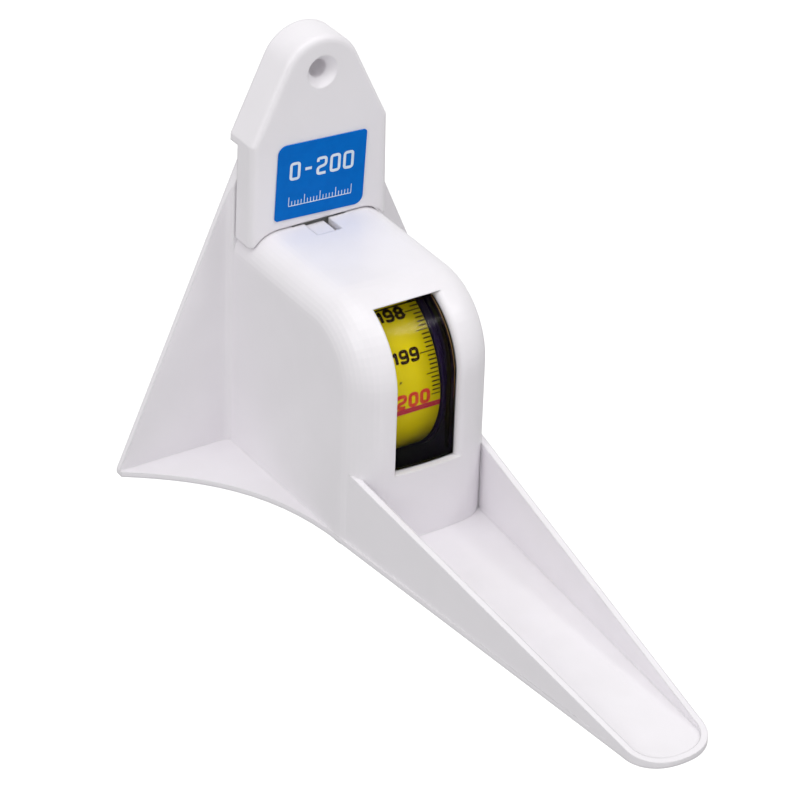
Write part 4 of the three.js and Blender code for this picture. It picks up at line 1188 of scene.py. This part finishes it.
@dataclass(frozen=True)
class Hanger:
    """The part on the wall: its shell, the label and the clamp that holds the tape's end."""

    nodes: dict[str, bpy.types.Object]
    label_half_width: float = 11.55 * MM
    label_half_height: float = 9.3 * MM
    label_tilt: float = math.radians(2.7)
    label_radii: tuple[float, float, float, float] = (0.8 * MM, 2.2 * MM, 0.8 * MM, 2.2 * MM)
    label_edge: float = 0.08 * MM
    corner_steps: int = 8
    ink_lift: float = 0.015 * MM
    range_pen: NumeralPen = NumeralPen(4.5 * MM, 2.8 * MM, 3.5 * MM, 0.7 * MM)
    range_text: str = "0-200"
    range_middle: float = 2.6 * MM
    rule_marks: int = 21
    marks_to_a_long_one: int = 5
    rule_half_width: float = 8.2 * MM
    rule_low: float = -5.9 * MM
    rule_weight: float = 0.2 * MM
    long_mark: float = 2.2 * MM
    short_mark: float = 1.1 * MM
    mark_half_weight: float = 0.09 * MM

    def label_place(self, across: float, up: float) -> Vector:
        """A point on the label's face.

        Args:
            across: Distance to the right of its middle.
            up: Distance above its middle.

        Returns:
            The point in the frame.
        """
        low, high = node_box("label_plate")
        middle = (low + high) / 2
        cosine = math.cos(self.label_tilt)
        sine = math.sin(self.label_tilt)
        x = middle.x + across * cosine + up * sine
        z = middle.z - across * sine + up * cosine
        return Vector((x, low.y, z))

    def label_outline(self, inset: float, depth: float) -> list[Vector]:
        """The label's outline with its rounded corners.

        Args:
            inset: How far it is drawn in.
            depth: How far it lies behind the label's face.

        Returns:
            The points, anticlockwise from the front.
        """
        wide = self.label_half_width - inset
        high = self.label_half_height - inset
        signs = ((-1, -1), (1, -1), (1, 1), (-1, 1))
        points = []
        for i, (side, level) in enumerate(signs):
            radius = self.label_radii[i] - inset
            for step in range(self.corner_steps + 1):
                angle = math.pi + QUARTER_TURN * (i + step / self.corner_steps)
                across = side * (wide - radius) + radius * math.cos(angle)
                up = level * (high - radius) + radius * math.sin(angle)
                points.append(self.label_place(across, up) + Vector((0, depth, 0)))
        return points

    def build_label(self) -> None:
        """Makes the label as a film with a softened edge, and prints a plain measuring range."""
        low, high = node_box("label_plate")
        thick = high.y - low.y
        film = Patchwork()
        rings = [
            self.label_outline(0, thick),
            self.label_outline(0, self.label_edge),
            self.label_outline(self.label_edge, 0),
        ]
        film.add_grid(rings, closed=True)
        film.add_face(self.label_outline(self.label_edge, 0))
        film.add_face(reversed(self.label_outline(0, thick)))
        settle(film.piece("label_film", LABEL_FILM), Body.HANGER, LABEL_FILM, "label_plate")

        ink = Patchwork()

        def face(across: float, up: float) -> Vector:
            """A point just proud of the label."""
            return self.label_place(across, up) - Vector((0, self.ink_lift, 0))

        pen = self.range_pen
        right = (pen.pitch * (len(self.range_text) - 1) + pen.width) / 2
        pen.draw(ink, self.range_text, right, self.range_middle, face)
        wide, low = self.rule_half_width, self.rule_low
        half = self.mark_half_weight
        for i in range(self.rule_marks):
            x = -wide + 2 * wide * i / (self.rule_marks - 1)
            rise = self.short_mark if i % self.marks_to_a_long_one else self.long_mark
            draw_bar(ink, (x - half, low, x + half, low + rise), face)
        draw_bar(ink, (-wide, low - self.rule_weight, wide, low), face)
        settle(ink.piece("label_marks", LABEL_INK), Body.HANGER, LABEL_INK)

    def build(self) -> None:
        """Dresses the CAD nodes and makes the label."""
        dress(self.nodes, ["hanger_shell"], WHITE_SHELL)
        dress(self.nodes, ["tape_clamp", "tape_clamp_screw_1", "tape_clamp_screw_2"], STEEL)
        dress(self.nodes, ["tape_end"], TAPE_BACK)
        self.build_label()


@dataclass(frozen=True)
class ViewWindow:
    """The clear pane behind the housing's opening, with a raised field that fills the opening."""

    front_radius: float = 19 * MM
    centre_depth: float = 37 * MM
    bow: float = 2.3 * MM
    bow_depth: float = 56 * MM
    bow_half_width: float = 18.2 * MM
    wall: float = 2.4 * MM
    gap: float = 0.3 * MM
    thick: float = 1.1 * MM
    rise: float = 1.03 * MM
    field_left: float = 8.35 * MM
    field_right: float = 7.05 * MM
    field_top_depth: float = 45.3 * MM
    sill_rise: float = 2.6 * MM
    sill_gap: float = 0.35 * MM
    step: float = 0.12 * MM
    sharp_degrees: float = 25.0
    facing_out: float = 0.6
    bead_width: float = 0.16 * MM
    bead_inset: float = 0.4 * MM
    bead_lift: float = 0.02 * MM
    bead_share: float = 0.62
    bead_fade: float = 2.4
    bead_flat: float = 0.4
    bead_sharp_degrees: float = 60.0
    skirt_depth: float = 1.3 * MM
    skirt_thick: float = 0.25 * MM
    skirt_gap: float = 0.02 * MM
    across_steps: int = 16
    down_steps: int = 26

    def arc_height(self) -> float:
        """Height of the middle of the housing's front curve."""
        return node_box("window_lens")[1].z - self.top_offset()

    def top_offset(self) -> float:
        """Works out how the pane lies on the housing's front curve.

        Returns:
            How far the pane's top lies above the middle of the curve.
        """
        radius = self.front_radius - self.wall - self.gap
        depth = -node_box("window_lens")[1].y
        return math.sqrt(radius**2 - (depth / self.bow_at(0.0) - self.centre_depth) ** 2)

    def bow_at(self, across: float) -> float:
        """How far the front bulges at a place across it, as a factor on depths.

        Args:
            across: Place across the housing.

        Returns:
            The factor.
        """
        share = across / self.bow_half_width
        return 1 + self.bow / self.bow_depth * (1 - share * share)

    def skin(self, across: float, along: float, inset: float) -> Vector:
        """A point on the housing's front, drawn in by an inset.

        Args:
            across: Place across the housing.
            along: Angle on the front curve from its top, in radians, or past a quarter turn the
                same distance straight down.
            inset: Depth below the outer face.

        Returns:
            The point in the frame.
        """
        radius = self.front_radius - inset
        angle = min(along, QUARTER_TURN)
        depth = self.centre_depth + radius * math.sin(angle)
        drop = max(0.0, along - QUARTER_TURN) * self.front_radius
        height = self.arc_height() + radius * math.cos(angle) - drop
        return Vector((across, -depth * self.bow_at(across), height))

    def angle_at_depth(self, across: float, depth: float, inset: float) -> float:
        """Where on the front curve a depth in front of the wall is reached.

        Args:
            across: Place across the housing.
            depth: The depth.
            inset: Depth below the outer face.

        Returns:
            The place along the front.
        """
        radius = self.front_radius - inset
        return math.asin((depth / self.bow_at(across) - self.centre_depth) / radius)

    def along_at_height(self, height: float) -> float:
        """Where on the straight front a height is reached.

        Args:
            height: The height in the frame.

        Returns:
            The place along the front.
        """
        return QUARTER_TURN + (self.arc_height() - height) / self.front_radius

    def columns(self) -> list[tuple[float, float]]:
        """Divides the pane across.

        Returns:
            The places, each with the share of the raised field there.
        """
        low, high = node_box("window_lens")
        left = [(low.x, 0.0), (-self.field_left - self.step, 0.0), (-self.field_left, 1.0)]
        right = [(self.field_right, 1.0), (self.field_right + self.step, 0.0), (high.x, 0.0)]
        wide = self.field_left + self.field_right
        middle = [
            (wide * i / self.across_steps - self.field_left, 1.0)
            for i in range(1, self.across_steps)
        ]
        return left + middle + right

    def rows(self, across: float, inset: float) -> list[tuple[float, float]]:
        """Places down the pane, each with the share of the raised field there.

        Args:
            across: Place across the housing.
            inset: Depth of the pane's face below the housing's outer face.

        Returns:
            The places along the front with their shares.
        """
        low, high = node_box("window_lens")
        sill = low.z + self.sill_rise
        top = self.angle_at_depth(across, -high.y, inset)
        field_top = self.angle_at_depth(across, self.field_top_depth, inset)
        field_low = self.along_at_height(sill + self.sill_gap)
        slack = self.step / self.front_radius
        rows = [(top, 0.0), (field_top - slack, 0.0), (field_top, 1.0)]
        for i in range(1, self.down_steps):
            rows.append((field_top + (field_low - field_top) * i / self.down_steps, 1.0))
        rows += [(field_low, 1.0), (field_low + slack, 0.0), (self.along_at_height(low.z), 0.0)]
        return rows

    def rim(self, columns: Sequence[Sequence[Vector]]) -> list[Vector]:
        """Goes once round the edge of a grid.

        Args:
            columns: Columns of the grid.

        Returns:
            The points of its edge.
        """
        top_and_side = [column[0] for column in columns] + columns[-1][1:]
        bottom = [column[-1] for column in reversed(columns)][1:]
        return top_and_side + bottom + columns[0][::-1][1:-1]

    def build(self) -> None:
        """Makes the pane and lets it stand for the CAD lens."""
        outer = self.wall + self.gap
        inner = outer + self.thick
        front = []
        back = []
        for across, lift_across in self.columns():
            rows = self.rows(across, outer)
            front.append([
                self.skin(across, along, outer - self.rise * min(lift_across, lift))
                for along, lift in rows
            ])
            back.append([self.skin(across, along, inner) for along, _ in rows])
        pane = Patchwork()
        pane.add_grid(front)
        pane.add_grid([column[::-1] for column in back])
        pane.add_grid([self.rim(back), self.rim(front)], closed=True)
        piece = pane.piece("window_pane", CLEAR_PANE, self.sharp_degrees)
        weld(piece)
        self.blacken_sides(piece)
        settle(piece, Body.HEAD_SLIDE, CLEAR_PANE, "window_lens")
        self.build_bead()
        self.build_skirt()

    def blacken_sides(self, piece: bpy.types.Object) -> None:
        """Gives the narrow side faces of the pane a near-black finish, painted shade for the dark
        gap beside the raised field.

        Args:
            piece: The pane.
        """
        piece.data.materials.append(PAINTED_SHADE_SIDE.material())
        for face in piece.data.polygons:
            rise = max(0.0, face.center.z - self.arc_height())
            ahead = -face.center.y / self.bow_at(face.center.x) - self.centre_depth
            outwards = Vector((0, -ahead, rise)).normalized()
            if abs(face.normal.dot(outwards)) < self.facing_out:
                face.material_index = 1

    def build_bead(self) -> None:
        """Makes the fine amber bead along the upper right edge of the raised field, a painted
        reflection of the yellow tape in the pane's edge.
        """
        inset = self.wall + self.gap - self.rise - self.bead_lift
        # The first two rows lie above the raised field.
        rows = self.rows(self.field_right, self.wall + self.gap)[2:]
        count = round(len(rows) * self.bead_share)
        middle = self.field_right - self.bead_inset
        fall = self.bead_width / 2
        section = ((-1, fall), (-self.bead_flat, 0.0), (self.bead_flat, 0.0), (1, fall))
        lines = []
        for i, (along, _) in enumerate(rows[:count]):
            width = self.bead_width * min(1.0, self.bead_fade * (1 - i / (count - 1)))
            lines.append([
                self.skin(middle + side * width / 2, along, inset + drop)
                for side, drop in section
            ])
        strip = Patchwork()
        strip.add_grid(lines)
        bead = strip.piece("pane_painted_reflection_bead", PAINTED_REFLECTION_BEAD, self.bead_sharp_degrees)
        settle(bead, Body.HEAD_SLIDE, PAINTED_REFLECTION_BEAD)

    def build_skirt(self) -> None:
        """Makes the dark skirt that runs inwards from the pane's right edge, beside the reel: a dark
        sheet that paints the shade beside the tape's right edge.
        """
        near = self.wall + self.gap + self.thick + self.skirt_gap
        far = near + self.skirt_depth
        right = self.field_right
        left = right - self.skirt_thick
        section = ((left, near), (right, near), (right, far), (left, far))
        # The first two and the last two rows lie beyond the raised field.
        lines = [
            [self.skin(across, along, inset) for across, inset in section]
            for along, _ in self.rows(right, self.wall + self.gap)[2:-2]
        ]
        skirt = Patchwork()
        skirt.add_grid(lines, closed=True)
        skirt.add_face(lines[0])
        skirt.add_face(reversed(lines[-1]))
        piece = skirt.piece("painted_shade_skirt", PAINTED_SHADE_SIDE)
        weld(piece)
        settle(piece, Body.HEAD_SLIDE, PAINTED_SHADE_SIDE)


def weld(piece: bpy.types.Object) -> None:
    """Joins points that coincide, and turns all faces outwards.

    Args:
        piece: The piece to mend.
    """
    work = bmesh.new()
    work.from_mesh(piece.data)
    bmesh.ops.remove_doubles(work, verts=work.verts, dist=SAME_PLACE)
    bmesh.ops.recalc_face_normals(work, faces=work.faces)
    work.to_mesh(piece.data)
    work.free()


@dataclass(frozen=True)
class HeadSlide:
    """The sliding part: its shell, rear cover, cassette, arbor, spring and window."""

    nodes: dict[str, bpy.types.Object]

    def build(self) -> None:
        """Dresses the CAD nodes and makes the window."""
        dress(self.nodes, ["head_slide_shell"], WHITE_SHELL)
        dress(self.nodes, ["rear_cover"], COVER_PLASTIC)
        dress(self.nodes, ["cassette_left", "cassette_right"], DARK_PLASTIC)
        kinds = ("rear_cover_screw", "cassette_screw")
        screws = [name for name in self.nodes if name.startswith(kinds)]
        dress(self.nodes, [*screws, "arbor"], STEEL)
        dress(self.nodes, ["recoil_spring"], SPRING_STEEL)
        ViewWindow().build()


@dataclass(frozen=True)
class TapeReel:
    """The reel in the slide with the outer turn of the tape and the scale printed on it."""

    nodes: dict[str, bpy.types.Object]
    roll_radius: float = 21.2 * MM
    tape_thick: float = 0.3 * MM
    winding_drop: float = 0.8 * MM
    turn_steps: int = 256
    print_lift: float = 0.012 * MM
    pen: NumeralPen = NumeralPen(3.3 * MM, 2.42 * MM, 2.68 * MM, 0.75 * MM)
    red_pen: NumeralPen = NumeralPen(3.8 * MM, 2.7 * MM, 3.0 * MM, 0.92 * MM)
    last_reading: int = 200
    last_mark: float = 0.96 * MM
    centimetre: float = 10 * MM
    ticks: int = 10
    readings: int = 7
    numeral_right: float = 2.45 * MM
    red_right: float = 3.85 * MM
    mark_right: float = 6.4 * MM
    long_mark_left: float = 2.6 * MM
    middle_mark_left: float = 3.3 * MM
    short_mark_left: float = 4.45 * MM
    mark_width: float = 0.33 * MM
    long_mark_width: float = 0.25 * MM
    numeral_rise: float = 0.2 * MM
    underline_middle: float = -1.65 * MM
    underline_width: float = 1.45 * MM
    underline_cuts: int = 4
    fleck: Flat = (-3.5 * MM, 5.7 * MM)
    fleck_grains: tuple[Flat, ...] = ((0.4, 0.5), (1.5, 0.3))
    grain_width: float = 0.45
    grain_shoulder: float = 0.6

    def lean(self) -> float:
        """Lean of the free tape towards the wall, in radians."""
        low, high = node_box("tape_run")
        return math.atan((high.y - low.y - self.tape_thick) / (high.z - low.z))

    def axis(self) -> Vector:
        """Middle of the reel."""
        low, high = node_box("reel_flange")
        return Vector((0, (low.y + high.y) / 2, (low.z + high.z) / 2))

    def place(self, across: float, turn: float, lift: float) -> Vector:
        """A point on or above the middle of the outer turn's tape.

        Args:
            across: Place across the tape.
            turn: Angle up from the front of the reel, in radians, from minus to plus half a turn.
            lift: Distance outwards from the middle of the tape.

        Returns:
            The point in the frame.
        """
        share = (turn - self.lean()) / FULL_TURN + 0.5
        radius = self.roll_radius - self.tape_thick / 2 - self.winding_drop * share + lift
        away = Vector((0, -math.cos(turn), math.sin(turn))) * radius
        return self.axis() + Vector((across, 0, 0)) + away

    def build_turn(self) -> None:
        """Makes the outer turn of the tape."""
        low, high = node_box("tape_winding")
        strip = TapeStrip((high.x - low.x) / 2, self.tape_thick / 2)
        start = self.lean() - math.pi
        rows = []
        for i in range(self.turn_steps + 1):
            turn = start + FULL_TURN * i / self.turn_steps
            rows.append([self.place(across, turn, lift) for across, lift in strip.section()])
        run = FULL_TURN * self.roll_radius
        piece = strip.piece("tape_outer_turn", TAPE_FACE, rows, run)
        settle(piece, Body.REEL, TAPE_FACE, "tape_winding")

    def printed(self, across: float, up: float) -> Vector:
        """A point just proud of the tape.

        Args:
            across: Place across the tape.
            up: Distance along the tape, upwards from the front of the reel.

        Returns:
            The point in the frame.
        """
        lift = self.tape_thick / 2 + self.print_lift
        return self.place(across, up / self.roll_radius, lift)

    def draw_ticks(self, black: Patchwork, mark: float, first_left: float) -> None:
        """Draws the ticks of a centimetre.

        Args:
            black: What gathers the black print.
            mark: Height of the first tick.
            first_left: Left end of the first tick.
        """
        lefts = {0: first_left, self.ticks // 2: self.middle_mark_left}
        for step in range(self.ticks):
            middle = mark + step * self.centimetre / self.ticks
            left = lefts.get(step, self.short_mark_left)
            half = (self.long_mark_width if step in lefts else self.mark_width) / 2
            box = (left, middle - half, self.mark_right, middle + half)
            draw_bar(black, box, self.printed)

    def draw_fleck(self, black: Patchwork) -> None:
        """Draws the small smudge that the printing left on the tape.

        Args:
            black: What gathers the black print.
        """
        spot = Vector(self.fleck)
        for turn, reach in self.fleck_grains:
            tip = Vector((math.cos(turn), math.sin(turn))) * reach * MM
            side = Vector((-tip.y, tip.x)) * self.grain_width
            corners = (-tip - side, tip * self.grain_shoulder - side, tip, side)
            black.add_face([self.printed(*(spot + corner)) for corner in corners])

    def build_scale(self) -> None:
        """Prints the scale: numerals rise upwards from the last reading at the front."""
        black = Patchwork()
        red = Patchwork()
        for i in range(self.readings):
            mark = self.last_mark + i * self.centimetre
            reading = str(self.last_reading - i)
            if i == 0:
                self.red_pen.draw(red, reading, self.red_right, mark, self.printed)
                self.draw_ticks(black, mark, self.red_right + self.mark_width)
            else:
                middle = mark + self.numeral_rise
                self.pen.draw(black, reading, self.numeral_right, middle, self.printed)
                self.draw_ticks(black, mark, self.long_mark_left)
        self.draw_fleck(black)
        half = self.underline_width / 2
        edge = node_box("tape_winding")[1].x
        box = (-edge, self.underline_middle - half, edge, self.underline_middle + half)
        rule = Patchwork()
        draw_bar(rule, box, self.printed, self.underline_cuts)
        settle(rule.piece("scale_red_rule", RULE_RED), Body.REEL, RULE_RED)
        settle(black.piece("scale_black_print", SCALE_BLACK), Body.REEL, SCALE_BLACK)
        settle(red.piece("scale_red_print", SCALE_RED), Body.REEL, SCALE_RED)

    def build(self) -> None:
        """Dresses the reel and makes the tape on it."""
        dress(self.nodes, ["reel_hub", "reel_flange"], DARK_PLASTIC)
        colours = srgb(206, 188, 52), srgb(112, 98, 40)
        rolled = RolledTape("rolled_tape", Slot.TAPE_PRINT, *colours, tuple(self.axis()))
        dress(self.nodes, ["tape_core"], rolled)
        self.build_turn()
        self.build_scale()


@dataclass(frozen=True)
class FreeTape:
    """The tape between the reel and the clamp."""

    thick: float = 0.3 * MM
    steps: int = 60
    hold: float = 1.5 * MM
    roll_room: float = 0.32 * MM
    printed_facing: float = 0.5

    def build(self) -> None:
        """Makes the strip, plain in front and yellow at the back."""
        low, high = node_box("tape_run")
        half = self.thick / 2
        # The room keeps the turned roll clear of the tape when the slide is low.
        bottom = Vector((0, low.y + half + self.roll_room, low.z))
        top = Vector((0, high.y - half, high.z))
        along = (top - bottom).normalized()
        outwards = Vector((0, -along.z, along.y))
        strip = TapeStrip((high.x - low.x) / 2, half)
        rows = []
        for i in range(self.steps + 1):
            middle = bottom.lerp(top, i / self.steps)
            rows.append([
                middle + outwards * lift + Vector((across, 0, 0))
                for across, lift in strip.section()
            ])
        piece = strip.piece("free_tape", TAPE_BACK, rows, (top - bottom).length)
        piece.data.materials.append(TAPE_FACE.material())
        for face in piece.data.polygons:
            if -face.normal.dot(outwards) > self.printed_facing:
                face.material_index = 1
        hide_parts("tape_run")
        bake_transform(piece)
        log.info("free_tape bends between hanger and head_slide")


@dataclass(frozen=True)
class StudioCamera:
    """The camera where the photograph was taken from."""

    aim: Vector = field(default_factory=lambda: Vector((-4.22, -51.31, -61.17)) * MM)
    distance: float = 880 * MM
    azimuth: float = math.radians(-33.55)
    elevation: float = math.radians(31.30)
    roll: float = math.radians(2.03)
    lens: float = 180.0
    sensor: float = 36.0
    nearest: float = 0.05
    farthest: float = 30.0

    def build(self) -> None:
        """Makes the camera and gives it to the scene."""
        level = math.cos(self.elevation)
        back = Vector((
            math.sin(self.azimuth) * level,
            -math.cos(self.azimuth) * level,
            math.sin(self.elevation),
        ))
        data = bpy.data.cameras.new("studio_camera")
        data.lens = self.lens
        data.sensor_width = self.sensor
        data.clip_start = self.nearest
        data.clip_end = self.farthest
        camera = bpy.data.objects.new("studio_camera", data)
        bpy.context.scene.collection.objects.link(camera)
        turned = back.to_track_quat("Z", "Y") @ Quaternion((0, 0, 1), self.roll)
        place = Matrix.Translation(self.aim + back * self.distance)
        camera.matrix_world = place @ turned.to_matrix().to_4x4()
        bpy.context.scene.camera = camera
        log.info("camera at %s", tuple(round(value, 4) for value in place.translation))


@dataclass(frozen=True)
class SoftBox:
    """One square lamp that shines from a place towards the object."""

    name: str
    place: tuple[float, float, float]
    side: float
    watts: float

    def build(self, aim: Vector) -> None:
        """Makes the lamp.

        Args:
            aim: What it shines at.
        """
        data = bpy.data.lights.new(self.name, "AREA")
        data.size = self.side
        data.energy = self.watts
        lamp = bpy.data.objects.new(self.name, data)
        bpy.context.scene.collection.objects.link(lamp)
        lamp.location = self.place
        lamp.rotation_mode = "QUATERNION"
        lamp.rotation_quaternion = (Vector(self.place) - aim).to_track_quat("Z", "Y")


@dataclass(frozen=True)
class Studio:
    """A white room: plain light from all round, a soft lamp above and a pale floor below."""

    surround: float = 0.52
    floor_drop: float = 2.16
    floor_half_width: float = 6.0
    floor_colour: Colour = srgb(240, 240, 240)
    floor_roughness: float = 0.9
    floor_glow: float = 0.7
    lit_depth: float = 50 * MM
    lit_drop: float = 50 * MM
    lamps: tuple[SoftBox, ...] = (
        SoftBox("overhead_lamp", (-0.15, -0.25, 1.25), 1.2, 7.1),
        SoftBox("left_lamp", (-1.1, -0.4, 0.6), 0.6, 3.3),
        SoftBox("low_lamp", (-0.2, -1.1, -0.6), 0.6, 0.9),
        SoftBox("spot_lamp", (-0.37, -0.16, 0.92), 0.1, 0.2),
        SoftBox("right_lamp", (0.5, -0.51, 0.75), 0.22, 1.7),
    )

    def build_world(self) -> None:
        """Lights the object evenly and shows plain white behind it."""
        world = bpy.data.worlds.new("studio_world")
        bpy.context.scene.world = world
        world.use_nodes = True
        graph = Graph(world.node_tree)
        path = graph.add("ShaderNodeLightPath").outputs
        seen = graph.maths("MAXIMUM", path["Is Camera Ray"], path["Is Glossy Ray"])
        seen = graph.maths("MAXIMUM", seen, path["Is Transmission Ray"])
        ground = world.node_tree.nodes["Background"]
        graph.feed(ground, "Color", WHITE)
        graph.feed(ground, "Strength", graph.between(seen, self.surround, 1.0))

    def build_floor(self) -> None:
        """Makes the pale floor under the lowest place that the slide reaches."""
        reach = self.floor_half_width
        floor = Patchwork()
        corners = ((-reach, -reach), (reach, -reach), (reach, reach), (-reach, reach))
        floor.add_face([Vector((x, y, -self.floor_drop)) for x, y in corners])
        mesh = bpy.data.meshes.new("studio_floor")
        mesh.from_pydata([tuple(point) for point in floor.points], [], floor.faces)
        material = bpy.data.materials.new("studio_floor")
        material.use_nodes = True
        graph = Graph(material.node_tree)
        shader = material.node_tree.nodes["Principled BSDF"]
        graph.feed(shader, "Base Color", self.floor_colour)
        graph.feed(shader, "Roughness", self.floor_roughness)
        seen = graph.add("ShaderNodeLightPath").outputs["Is Camera Ray"]
        graph.feed(shader, "Emission Color", WHITE)
        graph.feed(shader, "Emission Strength", graph.between(seen, 0.0, self.floor_glow))
        mesh.materials.append(material)
        piece = bpy.data.objects.new("studio_floor", mesh)
        bpy.context.scene.collection.objects.link(piece)
        piece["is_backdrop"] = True

    def build(self) -> None:
        """Makes the room, and shows colours as they are."""
        bpy.context.scene.view_settings.view_transform = "Standard"
        self.build_world()
        self.build_floor()
        for lamp in self.lamps:
            lamp.build(Vector((0, -self.lit_depth, -self.lit_drop)))


def plain(corners: tuple[Vector, Vector]) -> list[list[float]]:
    """Turns two corners into plain lists of numbers.

    Args:
        corners: The lowest and the highest corner.

    Returns:
        The numbers in metres.
    """
    return [[round(value, 6) for value in corner] for corner in corners]


def main() -> None:
    """Loads the frame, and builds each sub-assembly and the studio."""
    logging.basicConfig(level=logging.INFO, format="%(message)s")
    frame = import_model()
    cad_box = plain(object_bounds())
    nodes = frame["nodes"]
    StudioCamera().build()
    Hanger(nodes).build()
    HeadSlide(nodes).build()
    TapeReel(nodes).build()
    FreeTape().build()
    Studio().build()
    bpy.context.view_layer.update()
    {"cad": cad_box, "visual": plain(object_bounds())}


if __name__ == "__main__":
    main()
